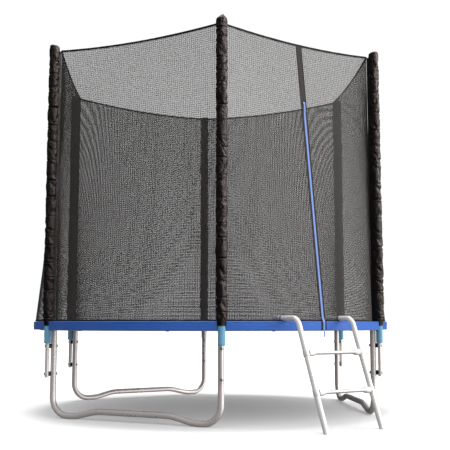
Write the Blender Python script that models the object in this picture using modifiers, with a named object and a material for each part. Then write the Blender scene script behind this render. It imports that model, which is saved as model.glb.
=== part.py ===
"""Round garden trampoline with six padded net poles, three W-shaped legs, a zipped net and a ladder.

Units are metres, +Z is up and the entrance faces -Y. The origin is the centre of the mat's top
surface. Heights below are above the floor, and above_floor() turns them into the part's Z.

Six-fold pieces are modelled once, for the pole that stands on the +X axis, or for the panel whose
middle lies on the +X axis, and each copy is its own object turned about Z.
"""
import math

import bmesh
import bpy
from mathutils import Matrix, Vector

OBJECT_NAME = "trampoline"

# Fits
FIT_GAP = 0.0003           # between pieces that touch
POLE_COUNT = 6

# Frame ring: six rail segments, each with a swaged end that plugs into its neighbour
RING_RADIUS = 1.200        # centreline of the ring, and of the leg uprights
RING_HEIGHT = 0.571        # centreline of the ring
TUBE_RADIUS = 0.019
TUBE_WALL = 0.0015
RAIL_CHORDS = 7            # straight runs in each rail segment
SWAGE_TAPER = 0.004
SPIGOT_LENGTH = 0.050
SPIGOT_CLEARANCE = 0.0004
STUB_LENGTH = 0.055        # leg stub below each rail

# Legs: one bent tube joins two neighbouring uprights and stands on its two low points
LEG_CORNER_RADIUS = 0.115
LEG_RAMP_START = 0.144     # from the upright, where the floor tube starts to rise
LEG_RAMP_LENGTH = 0.228
LEG_RAISE = 0.036
LEG_CORNER_STEPS = 4
LEG_RAMP_STEPS = 4

# Net poles
POLE_RADIUS = 0.0125
POLE_WALL = 0.0012
POLE_STANDOFF = 0.0135     # clear space between leg and pole, filled by the spacers
POLE_FOOT_DROP = 0.316     # below the ring
POLE_RISE = 0.022          # above the net's top edge
UPPER_POLE_LENGTH = 1.087
POLE_SPIGOT_LENGTH = 0.055
BOLT_DROPS = {"lower": 0.292, "upper": 0.116}
BOLT_RADIUS = 0.004
BOLT_HOLE_RADIUS = 0.0050
BOLT_HEAD_RADIUS = 0.0092
BOLT_HEAD_THICKNESS = 0.005
NUT_RADIUS = 0.0078
NUT_THICKNESS = 0.0068
SPACER_RADIUS = 0.013

# Foam sleeves and fabric pockets on the poles
FOAM_RADIUS = 0.022
FOAM_BORE_CLEARANCE = 0.0005
FOAM_DROP = 0.100          # below the ring
FOAM_RISE = 0.018          # above the net's top edge
POCKET_RADIUS = 0.034
POCKET_WALL = 0.0025
POCKET_CLEARANCE = 0.0007  # to the foam at the pocket's mouth
POCKET_MOUTH_DROP = 0.029  # below the pad's top
POCKET_TAPER_RISE = 0.029  # above the pad's top
POCKET_SHOULDER_RISE = 0.022  # above the net's top edge
POCKET_TIP_RISE = 0.037
SEAM_DEPTH = 0.050         # from the pole's axis in to the line where two net panels meet
SEAM_THICKNESS = 0.006

# Mat, springs and safety pad
MAT_RISE = 0.006           # top surface above the ring's centreline
MAT_THICKNESS = 0.003
SPRING_BAND = 0.200        # from the ring's centreline to the mat's edge
SPRING_COUNT = 48
SPRING_RADIUS = 0.010
SPRING_DROP = 0.0030       # spring axis below the mat's top surface
SPRING_END_LENGTH = 0.022  # tapered end and hook
RING_BAND_WIDTH = 0.008    # band of V-rings round the mat
RING_BAND_THICKNESS = 0.004
RING_BAND_CLEARANCE = 0.006
PAD_CLEARANCE = 0.001      # over the ring
PAD_THICKNESS = 0.020
PAD_OVERLAP = 0.015        # over the mat's edge
PAD_OVERHANG = 0.051       # past the ring's centreline
PAD_SKIRT_THICKNESS = 0.003
PAD_SKIRT_DEPTH = 0.055    # from the pad's top
PAD_EDGE_RADIUS = 0.007
PAD_NOTCH_CLEARANCE = 0.002
PAD_STEPS = 48

# Net
NET_THICKNESS = 0.002
NET_HEIGHT = 1.798         # at the poles
NET_SAG = 0.028            # of the top edge at mid-panel
NET_BOTTOM_CLEARANCE = 0.001
NET_BOTTOM_OVERHANG = 0.040  # of the bottom edge past the ring's centreline, at mid-panel
NET_END_GAP = 0.002
NET_COLUMNS = 10           # even, so that the zip lies on a column
NET_ROWS = 3

# Zip in the entrance panel
ZIP_TAPE_WIDTH = 0.039
ZIP_TAPE_THICKNESS = 0.0015
ZIP_SLIT_WIDTH = 0.006
ZIP_TOP_DROP = 0.425       # closed slider, below the net's top edge at the poles
ZIP_SLIT_RISE = 0.015      # top of the slit above the closed slider
SLIDER_LENGTH = 0.026
SLIDER_WIDTH = 0.014
SLIDER_THICKNESS = 0.008
PULL_LENGTH = 0.045
PULL_WIDTH = 0.009
PULL_THICKNESS = 0.0025

# Ladder
LADDER_RADIUS = 0.016
LADDER_WALL = 0.0015
LADDER_WIDTH = 0.415       # between the rails' centrelines
LADDER_OFFSET = -0.064     # of the ladder's middle along X
LADDER_FOOT_REACH = 0.378  # feet beyond the ring's centreline
LADDER_KNEE_REACH = 0.136  # where the slope would meet the level top
LADDER_KNEE_RADIUS = 0.060
LADDER_KNEE_STEPS = 5
LADDER_HOOK_DEPTH = 0.085  # level top's inner end, inside the ring's centreline
RUNG_DROPS = {"lower": 0.4113, "upper": 0.1973}  # below the level top
RUNG_HALF_HEIGHT = 0.011
RUNG_HALF_DEPTH = 0.019
RUNG_SOCKET_HALF_HEIGHT = 0.0185
RUNG_SOCKET_LENGTH = 0.030
RUNG_SOCKET_TAPER = 0.030
LADDER_NOTCH_CLEARANCE = 0.004

# Faceting
TUBE_SIDES = 8             # a multiple of 4, which puts a corner straight below a tube's path
TUBE_RESOLUTION = (TUBE_SIDES - 4) // 2
BOLT_SIDES = 8
BOLT_HOLE_SIDES = 6
SPRING_SIDES = 6

# Heights worked out from the sizes above
MAT_HEIGHT = RING_HEIGHT + MAT_RISE
PAD_UNDERSIDE_HEIGHT = RING_HEIGHT + TUBE_RADIUS + PAD_CLEARANCE
PAD_TOP_HEIGHT = PAD_UNDERSIDE_HEIGHT + PAD_THICKNESS
PAD_SKIRT_BOTTOM_HEIGHT = PAD_TOP_HEIGHT - PAD_SKIRT_DEPTH
NET_BOTTOM_HEIGHT = PAD_TOP_HEIGHT + NET_BOTTOM_CLEARANCE
NET_TOP_HEIGHT = NET_BOTTOM_HEIGHT + NET_HEIGHT
POLE_FOOT_HEIGHT = RING_HEIGHT - POLE_FOOT_DROP
POLE_TOP_HEIGHT = NET_TOP_HEIGHT + POLE_RISE
POLE_JOINT_HEIGHT = POLE_TOP_HEIGHT - UPPER_POLE_LENGTH
BOLT_HEIGHTS = {place: RING_HEIGHT - drop for place, drop in BOLT_DROPS.items()}
FOAM_BOTTOM_HEIGHT = RING_HEIGHT - FOAM_DROP
FOAM_TOP_HEIGHT = NET_TOP_HEIGHT + FOAM_RISE
POCKET_BOTTOM_HEIGHT = PAD_TOP_HEIGHT - POCKET_MOUTH_DROP
POCKET_TAPER_HEIGHT = PAD_TOP_HEIGHT + POCKET_TAPER_RISE
POCKET_SHOULDER_HEIGHT = NET_TOP_HEIGHT + POCKET_SHOULDER_RISE
POCKET_TIP_HEIGHT = NET_TOP_HEIGHT + POCKET_TIP_RISE
ZIP_SLIDER_HEIGHT = NET_TOP_HEIGHT - ZIP_TOP_DROP
ZIP_SLIT_TOP_HEIGHT = ZIP_SLIDER_HEIGHT + ZIP_SLIT_RISE
LADDER_TOP_HEIGHT = PAD_TOP_HEIGHT + LADDER_RADIUS + FIT_GAP
RUNG_HEIGHTS = {place: LADDER_TOP_HEIGHT - drop for place, drop in RUNG_DROPS.items()}

# Plan sizes worked out from the sizes above
SECTOR = 2 * math.pi / POLE_COUNT
HALF_SECTOR = SECTOR / 2
FLAT_SHARE = math.cos(math.pi / TUBE_SIDES)     # a faceted tube's flats against its corners
MAT_RADIUS = RING_RADIUS - SPRING_BAND
LEG_PLANE = RING_RADIUS * math.cos(HALF_SECTOR)
LEG_HALF_SPAN = RING_RADIUS * math.sin(HALF_SECTOR)
POLE_CIRCLE = RING_RADIUS + TUBE_RADIUS + POLE_STANDOFF + POLE_RADIUS
SEAM_CIRCLE = POLE_CIRCLE - SEAM_DEPTH
NET_BOTTOM_CIRCLE = RING_RADIUS + NET_BOTTOM_OVERHANG

# Angles about Z
POLE_ANGLES = [math.radians(-120 + 60 * index) for index in range(POLE_COUNT)]
PANEL_ANGLES = [math.radians(-90 + 60 * index) for index in range(POLE_COUNT)]
LEG_ANGLES = [math.radians(angle) for angle in (-150, -30, 90)]
FRONT_ANGLE = math.radians(-90)


def above_floor(height):
    """Z of a height above the floor."""
    return height - MAT_HEIGHT


# ---------------------------------------------------------------- building blocks

def clear_scene():
    for item in list(bpy.data.objects):
        bpy.data.objects.remove(item, do_unlink=True)


def new_collection(name):
    collection = bpy.data.collections.new(name)
    bpy.context.scene.collection.children.link(collection)
    return collection


def new_material(name, colour, roughness, metallic=0.0):
    material = bpy.data.materials.new(name)
    material.use_nodes = True
    shader = material.node_tree.nodes["Principled BSDF"]
    shader.inputs["Base Color"].default_value = (*colour, 1.0)
    shader.inputs["Roughness"].default_value = roughness
    shader.inputs["Metallic"].default_value = metallic
    return material


def new_object(name, mesh, collection, angle=0.0):
    item = bpy.data.objects.new(name, mesh)
    item.rotation_euler.z = angle
    collection.objects.link(item)
    return item


def new_cutter(name, mesh, collection, angle=0.0):
    cutter = new_object(name, mesh, collection, angle)
    cutter.hide_render = True
    cutter.display_type = "WIRE"
    return cutter


def mesh_from(builder, name):
    """Mesh of a bmesh that the builder fills."""
    shape = bmesh.new()
    builder(shape)
    mesh = bpy.data.meshes.new(name)
    shape.to_mesh(mesh)
    shape.free()
    return mesh


def bake(item):
    """Mesh of an object with its modifiers applied. The object is removed."""
    bpy.context.view_layer.update()
    depsgraph = bpy.context.evaluated_depsgraph_get()
    mesh = bpy.data.meshes.new_from_object(item.evaluated_get(depsgraph))
    bpy.data.objects.remove(item, do_unlink=True)
    return mesh


def weld(mesh):
    """Joins a curve's loose caps to its sides."""
    shape = bmesh.new()
    shape.from_mesh(mesh)
    bmesh.ops.remove_doubles(shape, verts=shape.verts, dist=0.00001)
    shape.to_mesh(mesh)
    shape.free()
    return mesh


def boolean(item, other, operation="DIFFERENCE"):
    modifier = item.modifiers.new(operation.title(), "BOOLEAN")
    modifier.operation = operation
    modifier.object = other
    modifier.solver = "EXACT"
    return item


def solidify(item, thickness, offset):
    modifier = item.modifiers.new("Solidify", "SOLIDIFY")
    modifier.thickness = thickness
    modifier.offset = offset
    modifier.use_even_offset = True
    return item


def turned(name, profile, sides, collection, ring=False):
    """Profile of (radius, z) points turned about Z. A ring's profile closes on itself."""
    def build(shape):
        points = [shape.verts.new((radius, 0.0, z)) for radius, z in profile]
        for start, end in zip(points, points[1:]):
            shape.edges.new((start, end))
        if ring:
            shape.edges.new((points[-1], points[0]))

    item = new_object(name, mesh_from(build, name), collection)
    modifier = item.modifiers.new("Screw", "SCREW")
    modifier.axis = "Z"
    modifier.steps = sides
    modifier.render_steps = sides
    modifier.use_merge_vertices = True
    modifier.merge_threshold = 0.00005
    return item


def swept(name, points, radius, collection, wall=None, factors=None):
    """Round bar along points, or an open tube where a wall is given. Factors scale its radius."""
    curve = bpy.data.curves.new(name, "CURVE")
    curve.dimensions = "3D"
    curve.bevel_depth = radius
    curve.bevel_resolution = TUBE_RESOLUTION
    curve.use_fill_caps = wall is None
    spline = curve.splines.new("POLY")
    spline.points.add(len(points) - 1)
    for index, point in enumerate(points):
        spline.points[index].co = (*point, 1.0)
        spline.points[index].radius = factors[index] if factors else 1.0
    guide = bpy.data.objects.new(name, curve)
    collection.objects.link(guide)
    mesh = weld(bake(guide))
    bpy.data.curves.remove(curve)
    item = new_object(name, mesh, collection)
    return solidify(item, wall, -1.0) if wall else item


def box(name, low, high, collection):
    """Box between two corners."""
    low = Vector(low)
    high = Vector(high)

    def build(shape):
        size = Matrix.Diagonal(high - low).to_4x4()
        bmesh.ops.create_cube(shape, size=1.0, matrix=Matrix.Translation((low + high) / 2) @ size)

    return new_object(name, mesh_from(build, name), collection)


def bar(shape, start, end, radius, sides):
    """Adds a capped cylinder between two points to a bmesh."""
    start = Vector(start)
    span = Vector(end) - start
    turn = span.to_track_quat("Z", "Y").to_matrix().to_4x4()
    middle = Matrix.Translation(start + span / 2)
    bmesh.ops.create_cone(shape, cap_ends=True, segments=sides, radius1=radius, radius2=radius,
                          depth=span.length, matrix=middle @ turn)


def finish(item, material):
    """Gives a piece its material and smooth shading on its round faces."""
    mesh = item.data
    mesh.materials.clear()
    mesh.materials.append(material)
    mesh.shade_smooth()
    mesh.set_sharp_from_angle(angle=math.radians(40))
    return item


def copies(prefix, mesh, angles, collection, material):
    """One object for each angle, numbered from 1, all sharing one mesh."""
    for number, angle in enumerate(angles, start=1):
        finish(new_object(f"{prefix}_{number}", mesh, collection, angle), material)


# ---------------------------------------------------------------- steel frame

def rail_mesh(collection):
    """Rail centred on +X: a bent tube, a swaged end and a stub for the leg below its middle."""
    z = above_floor(RING_HEIGHT)
    step = SECTOR / RAIL_CHORDS
    flat_radius = RING_RADIUS * math.cos(step / 2)

    def joint(angle, along):
        tangent = Vector((-math.sin(angle), math.cos(angle), 0.0))
        return Vector((flat_radius * math.cos(angle), flat_radius * math.sin(angle), z)) + tangent * along

    points = [joint(-HALF_SECTOR, SWAGE_TAPER + FIT_GAP)]
    for index in range(RAIL_CHORDS):
        angle = -HALF_SECTOR + step * (index + 0.5)
        points.append(Vector((RING_RADIUS * math.cos(angle), RING_RADIUS * math.sin(angle), z)))
    for along in (0.0, SWAGE_TAPER, SPIGOT_LENGTH):
        points.append(joint(HALF_SECTOR, along))
    swage = (TUBE_RADIUS - TUBE_WALL - SPIGOT_CLEARANCE) / TUBE_RADIUS
    factors = [1.0] * (RAIL_CHORDS + 2) + [swage, swage]
    rail = swept("rail", points, TUBE_RADIUS, collection, TUBE_WALL, factors)

    radius = (TUBE_RADIUS - TUBE_WALL) * FLAT_SHARE - FIT_GAP
    bore = radius - TUBE_WALL
    root = z - TUBE_RADIUS
    profile = [(0.0, z - TUBE_RADIUS / 2), (radius, z - TUBE_RADIUS / 2), (radius, root - STUB_LENGTH),
               (bore, root - STUB_LENGTH), (bore, root - TUBE_WALL), (0.0, root - TUBE_WALL)]
    stub = turned("rail_stub", profile, TUBE_SIDES, collection)
    stub.location.x = RING_RADIUS
    mesh = bake(boolean(rail, stub, "UNION"))
    bpy.data.objects.remove(stub)
    return mesh


def bolt_hole_cutter(name, collection, angle):
    """The two radial bolt holes at the pole that stands at an angle from +X."""
    inner = RING_RADIUS - 2 * TUBE_RADIUS
    outer = POLE_CIRCLE + 2 * POLE_RADIUS

    def build(shape):
        for height in BOLT_HEIGHTS.values():
            z = above_floor(height)
            bar(shape, (inner, 0.0, z), (outer, 0.0, z), BOLT_HOLE_RADIUS, BOLT_HOLE_SIDES)

    return new_cutter(name, mesh_from(build, name), collection, angle)


def leg_mesh(collection, cutters):
    """Leg centred on +X, in the upright plane through its two uprights."""
    low = above_floor(TUBE_RADIUS)
    top = above_floor(RING_HEIGHT - TUBE_RADIUS - FIT_GAP)
    half = [(0.0, top)]
    for index in range(LEG_CORNER_STEPS + 1):
        turn = math.pi / 2 * index / LEG_CORNER_STEPS
        half.append((LEG_CORNER_RADIUS * (1 - math.cos(turn)), low + LEG_CORNER_RADIUS * (1 - math.sin(turn))))
    for index in range(LEG_RAMP_STEPS + 1):
        share = index / LEG_RAMP_STEPS
        rise = LEG_RAISE * (1 - math.cos(math.pi * share)) / 2
        half.append((LEG_RAMP_START + LEG_RAMP_LENGTH * share, low + rise))
    left = [Vector((LEG_PLANE, along - LEG_HALF_SPAN, z)) for along, z in half]
    right = [Vector((LEG_PLANE, LEG_HALF_SPAN - along, z)) for along, z in reversed(half)]
    leg = swept("leg", left + right, TUBE_RADIUS, collection, TUBE_WALL)
    for side in (-1, 1):
        boolean(leg, bolt_hole_cutter("leg_bolt_holes", cutters, side * HALF_SECTOR))
    return bake(leg)


# ---------------------------------------------------------------- net poles

def pole_lower_mesh(collection, cutters):
    """Lower pole tube, its top end swaged to plug into the upper one."""
    foot = above_floor(POLE_FOOT_HEIGHT)
    joint = above_floor(POLE_JOINT_HEIGHT)
    bore = POLE_RADIUS - POLE_WALL
    spigot = bore - SPIGOT_CLEARANCE
    profile = [(spigot, joint + POLE_SPIGOT_LENGTH), (spigot, joint), (POLE_RADIUS, joint - SWAGE_TAPER),
               (POLE_RADIUS, foot), (bore, foot), (bore, joint - SWAGE_TAPER - POLE_WALL),
               (spigot - POLE_WALL, joint), (spigot - POLE_WALL, joint + POLE_SPIGOT_LENGTH)]
    pole = turned("pole", profile, TUBE_SIDES, collection, ring=True)
    pole.location.x = POLE_CIRCLE
    mesh = bake(boolean(pole, bolt_hole_cutter("pole_bolt_holes", cutters, 0.0)))
    mesh.transform(Matrix.Translation((POLE_CIRCLE, 0.0, 0.0)))
    return mesh


def sleeve_mesh(name, radius, bore, bottom, top, collection):
    """Plain sleeve about the pole on +X, between two heights."""
    low = above_floor(bottom)
    high = above_floor(top)
    profile = [(radius, high), (radius, low), (bore, low), (bore, high)]
    mesh = bake(turned(name, profile, TUBE_SIDES, collection, ring=True))
    mesh.transform(Matrix.Translation((POLE_CIRCLE, 0.0, 0.0)))
    return mesh


def pole_bolt_mesh(height, collection):
    """Carriage bolt with its nut and spacer on the radial line through leg and pole."""
    head = POLE_CIRCLE + POLE_RADIUS + FIT_GAP
    spacer_outer = POLE_CIRCLE - POLE_RADIUS - FIT_GAP
    spacer_inner = RING_RADIUS + TUBE_RADIUS + FIT_GAP
    nut = RING_RADIUS - TUBE_RADIUS - FIT_GAP
    profile = [(0.0, head + BOLT_HEAD_THICKNESS), (BOLT_HEAD_RADIUS * 0.6, head + BOLT_HEAD_THICKNESS * 0.85),
               (BOLT_HEAD_RADIUS, head), (BOLT_RADIUS, head),
               (BOLT_RADIUS, spacer_outer), (SPACER_RADIUS, spacer_outer),
               (SPACER_RADIUS, spacer_inner), (BOLT_RADIUS, spacer_inner),
               (BOLT_RADIUS, nut), (NUT_RADIUS, nut),
               (NUT_RADIUS, nut - NUT_THICKNESS), (0.0, nut - NUT_THICKNESS)]
    mesh = bake(turned("pole_bolt", profile, BOLT_SIDES, collection))
    mesh.transform(Matrix.Rotation(math.pi / 2, 4, "Y"))
    mesh.transform(Matrix.Translation((0.0, 0.0, above_floor(height))))
    return mesh


def pocket_mesh(collection):
    """Fabric pocket over the foam, closed at the top, with the seam that the net hangs from."""
    bottom = above_floor(POCKET_BOTTOM_HEIGHT)
    taper = above_floor(POCKET_TAPER_HEIGHT)
    shoulder = above_floor(POCKET_SHOULDER_HEIGHT)
    tip = above_floor(POCKET_TIP_HEIGHT)
    mouth = FOAM_RADIUS + POCKET_CLEARANCE
    bore = POCKET_RADIUS - POCKET_WALL
    profile = [(0.0, tip), (POCKET_RADIUS * 0.7, tip - POCKET_WALL), (POCKET_RADIUS, shoulder),
               (POCKET_RADIUS, taper), (mouth + POCKET_WALL, bottom), (mouth, bottom),
               (bore, taper), (bore, shoulder), (0.0, tip - 2 * POCKET_WALL)]
    pocket = turned("pocket", profile, TUBE_SIDES, collection)
    pocket.location.x = POLE_CIRCLE
    inner = SEAM_CIRCLE + NET_THICKNESS
    outer = POLE_CIRCLE - POCKET_RADIUS * FLAT_SHARE + POCKET_WALL / 2
    seam = box("seam", (inner, -SEAM_THICKNESS / 2, above_floor(NET_BOTTOM_HEIGHT)),
               (outer, SEAM_THICKNESS / 2, above_floor(NET_TOP_HEIGHT)), collection)
    mesh = bake(boolean(pocket, seam, "UNION"))
    bpy.data.objects.remove(seam)
    mesh.transform(Matrix.Translation((POLE_CIRCLE, 0.0, 0.0)))
    return mesh


# ---------------------------------------------------------------- mat, springs and pad

def add_mat(collection, material):
    def build(shape):
        bar(shape, (0.0, 0.0, -MAT_THICKNESS), (0.0, 0.0, 0.0), MAT_RADIUS, PAD_STEPS)

    finish(new_object("jumping_mat", mesh_from(build, "jumping_mat"), collection), material)


def add_springs(collection, material):
    """All springs, joined by the band of V-rings that they pull on."""
    inner = MAT_RADIUS + RING_BAND_CLEARANCE
    half = RING_BAND_THICKNESS / 2
    profile = [(inner + RING_BAND_WIDTH, half), (inner + RING_BAND_WIDTH, -half), (inner, -half), (inner, half)]
    band = turned("springs", profile, SPRING_COUNT, collection, ring=True)
    band.location.z = -SPRING_DROP

    start = inner + RING_BAND_WIDTH / 2
    end = RING_RADIUS * math.cos(SECTOR / RAIL_CHORDS / 2) - TUBE_RADIUS - FIT_GAP
    spring_profile = [(0.0, end), (SPRING_RADIUS, end - SPRING_END_LENGTH),
                      (SPRING_RADIUS, start + SPRING_END_LENGTH), (0.0, start)]
    spring = bake(turned("spring", spring_profile, SPRING_SIDES, collection))
    spring.transform(Matrix.Rotation(math.pi / 2, 4, "Y"))

    def build(shape):
        for index in range(SPRING_COUNT):
            before = len(shape.verts)
            shape.from_mesh(spring)
            shape.verts.ensure_lookup_table()
            turn = Matrix.Rotation(2 * math.pi * (index + 0.5) / SPRING_COUNT, 4, "Z")
            bmesh.ops.transform(shape, matrix=turn, verts=shape.verts[before:])

    coils = new_object("coils", mesh_from(build, "coils"), collection)
    coils.location.z = -SPRING_DROP
    mesh = bake(boolean(band, coils, "UNION"))
    bpy.data.objects.remove(coils)
    mesh.transform(Matrix.Translation((0.0, 0.0, -SPRING_DROP)))
    finish(new_object("springs", mesh, collection), material)


def add_pad(collection, cutters, material):
    """Padded ring over the springs, with a skirt outside the rail and a notch at each pole."""
    top = above_floor(PAD_TOP_HEIGHT)
    under = above_floor(PAD_UNDERSIDE_HEIGHT)
    skirt = above_floor(PAD_SKIRT_BOTTOM_HEIGHT)
    inner = MAT_RADIUS - PAD_OVERLAP
    outer = RING_RADIUS + PAD_OVERHANG
    edge = PAD_EDGE_RADIUS
    profile = [(inner + edge, top), (outer - edge, top), (outer, top - edge), (outer, skirt),
               (outer - PAD_SKIRT_THICKNESS, skirt), (outer - PAD_SKIRT_THICKNESS, under),
               (inner, under), (inner, top - edge)]
    pad = turned("safety_pad", profile, PAD_STEPS, collection, ring=True)
    notch = POCKET_RADIUS + PAD_NOTCH_CLEARANCE

    def build(shape):
        for angle in POLE_ANGLES:
            x = POLE_CIRCLE * math.cos(angle)
            y = POLE_CIRCLE * math.sin(angle)
            bar(shape, (x, y, skirt - PAD_THICKNESS), (x, y, top + PAD_THICKNESS), notch, TUBE_SIDES)

    boolean(pad, new_cutter("pad_notches", mesh_from(build, "pad_notches"), cutters))
    finish(pad, material)


# ---------------------------------------------------------------- net and zip

def net_point(across, up):
    """Point of the net panel centred on +X. Across runs from -1 to 1 between its poles, up from 0 to 1.

    The top edge is a straight chord that sags, and the bottom edge is an arc round the pad's edge.
    """
    end = SEAM_CIRCLE * math.sin(HALF_SECTOR) - NET_END_GAP
    top_z = above_floor(NET_TOP_HEIGHT - NET_SAG * (1 - across ** 2))
    top = Vector((SEAM_CIRCLE * math.cos(HALF_SECTOR), end * across, top_z))
    angle = math.asin(end / SEAM_CIRCLE) * across
    radius = NET_BOTTOM_CIRCLE - (NET_BOTTOM_CIRCLE - SEAM_CIRCLE) * across ** 6
    bottom_z = above_floor(NET_BOTTOM_HEIGHT)
    bottom = Vector((radius * math.cos(angle), radius * math.sin(angle), bottom_z))
    return bottom.lerp(top, up)


def net_panel(name, collection):
    """Loft between the arc at the bottom and the chord at the top."""
    def build(shape):
        grid = []
        for column in range(NET_COLUMNS + 1):
            across = 2 * column / NET_COLUMNS - 1
            grid.append([shape.verts.new(net_point(across, row / NET_ROWS)) for row in range(NET_ROWS + 1)])
        for left, right in zip(grid, grid[1:]):
            for row in range(NET_ROWS):
                shape.faces.new((left[row], right[row], right[row + 1], left[row + 1]))

    item = new_object(name, mesh_from(build, name), collection)
    return solidify(item, NET_THICKNESS, 0.0)


def add_net(collection, cutters, material):
    """Six panels. The entrance panel has a slit behind the zip and a notch over each ladder rail."""
    mesh = bake(net_panel("net_panel", collection))
    for number, angle in list(enumerate(PANEL_ANGLES, start=1))[1:]:
        finish(new_object(f"net_panel_{number}", mesh, collection, angle), material)

    entrance = finish(new_object("net_panel_1", mesh.copy(), collection, PANEL_ANGLES[0]), material)
    far = NET_BOTTOM_CIRCLE + 2 * LADDER_RADIUS
    half = ZIP_SLIT_WIDTH / 2
    slit = box("zip_slit", (-half, -far, above_floor(NET_BOTTOM_HEIGHT - LADDER_RADIUS)),
               (half, -LEG_PLANE + LADDER_WIDTH / 2, above_floor(ZIP_SLIT_TOP_HEIGHT)), cutters)
    slit.hide_render = True
    slit.display_type = "WIRE"

    def build(shape):
        z = above_floor(LADDER_TOP_HEIGHT)
        for x in ladder_rail_places():
            bar(shape, (x, -far, z), (x, -LEG_PLANE, z), LADDER_RADIUS + LADDER_NOTCH_CLEARANCE, TUBE_SIDES)

    boolean(entrance, slit)
    boolean(entrance, new_cutter("ladder_notches", mesh_from(build, "ladder_notches"), cutters))


def zip_line():
    """Bottom and top of the straight zip line on the panel centred on +X, and its outward normal."""
    bottom = net_point(0.0, 0.0)
    top = net_point(0.0, 1.0)
    along = (top - bottom).normalized()
    return bottom, top, Vector((along.z, 0.0, -along.x))


def add_zip_tape(collection, material):
    """Tape over the slit, from the net's top edge down over the pad's skirt."""
    bottom, top, normal = zip_line()
    lift = NET_THICKNESS / 2 + FIT_GAP + ZIP_TAPE_THICKNESS / 2
    skirt_radius = RING_RADIUS + PAD_OVERHANG + FIT_GAP + ZIP_TAPE_THICKNESS
    path = [top + normal * lift, bottom + (top - bottom) * 0.02 + normal * (lift + FIT_GAP),
            Vector((skirt_radius, 0.0, above_floor(PAD_TOP_HEIGHT - PAD_EDGE_RADIUS / 2))),
            Vector((skirt_radius, 0.0, above_floor(PAD_SKIRT_BOTTOM_HEIGHT)))]

    def build(shape):
        half = ZIP_TAPE_WIDTH / 2
        pairs = [[shape.verts.new(point + Vector((0.0, side * half, 0.0))) for side in (-1, 1)] for point in path]
        for upper, lower in zip(pairs, pairs[1:]):
            shape.faces.new((upper[0], lower[0], lower[1], upper[1]))

    tape = new_object("zip_tape", mesh_from(build, "zip_tape"), collection, FRONT_ANGLE)
    solidify(tape, ZIP_TAPE_THICKNESS, 0.0)
    finish(tape, material)


def add_zip_slider(collection, material):
    """Slider body and its hanging pull tab, on the outside of the tape."""
    bottom, top, normal = zip_line()
    share = (ZIP_SLIDER_HEIGHT - NET_BOTTOM_HEIGHT) / (top.z - bottom.z)
    lift = NET_THICKNESS / 2 + 2 * FIT_GAP + ZIP_TAPE_THICKNESS
    base = bottom.lerp(top, share) + normal * lift
    half = SLIDER_WIDTH / 2
    slider = box("zip_slider", (FIT_GAP, -half, -SLIDER_LENGTH / 2),
                 (SLIDER_THICKNESS, half, SLIDER_LENGTH / 2), collection)
    tab = box("pull_tab", (SLIDER_THICKNESS - PULL_THICKNESS, -PULL_WIDTH / 2, -SLIDER_LENGTH / 2 - PULL_LENGTH),
              (SLIDER_THICKNESS + FIT_GAP, PULL_WIDTH / 2, 0.0), collection)
    mesh = bake(boolean(slider, tab, "UNION"))
    bpy.data.objects.remove(tab)
    lean = math.atan2(normal.z, normal.x)
    mesh.transform(Matrix.Rotation(-lean, 4, "Y"))
    item = new_object("zip_slider", mesh, collection, FRONT_ANGLE)
    item.location = Matrix.Rotation(FRONT_ANGLE, 3, "Z") @ base
    finish(item, material)


# ---------------------------------------------------------------- ladder

def ladder_rail_places():
    return [LADDER_OFFSET - LADDER_WIDTH / 2, LADDER_OFFSET + LADDER_WIDTH / 2]


def ladder_slope_point(height):
    """Point of the ladder's sloping centre plane at a height, with x left at zero."""
    drop = height / LADDER_TOP_HEIGHT
    reach = LADDER_FOOT_REACH + (LADDER_KNEE_REACH - LADDER_FOOT_REACH) * drop
    return Vector((0.0, -RING_RADIUS - reach, above_floor(height)))


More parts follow.
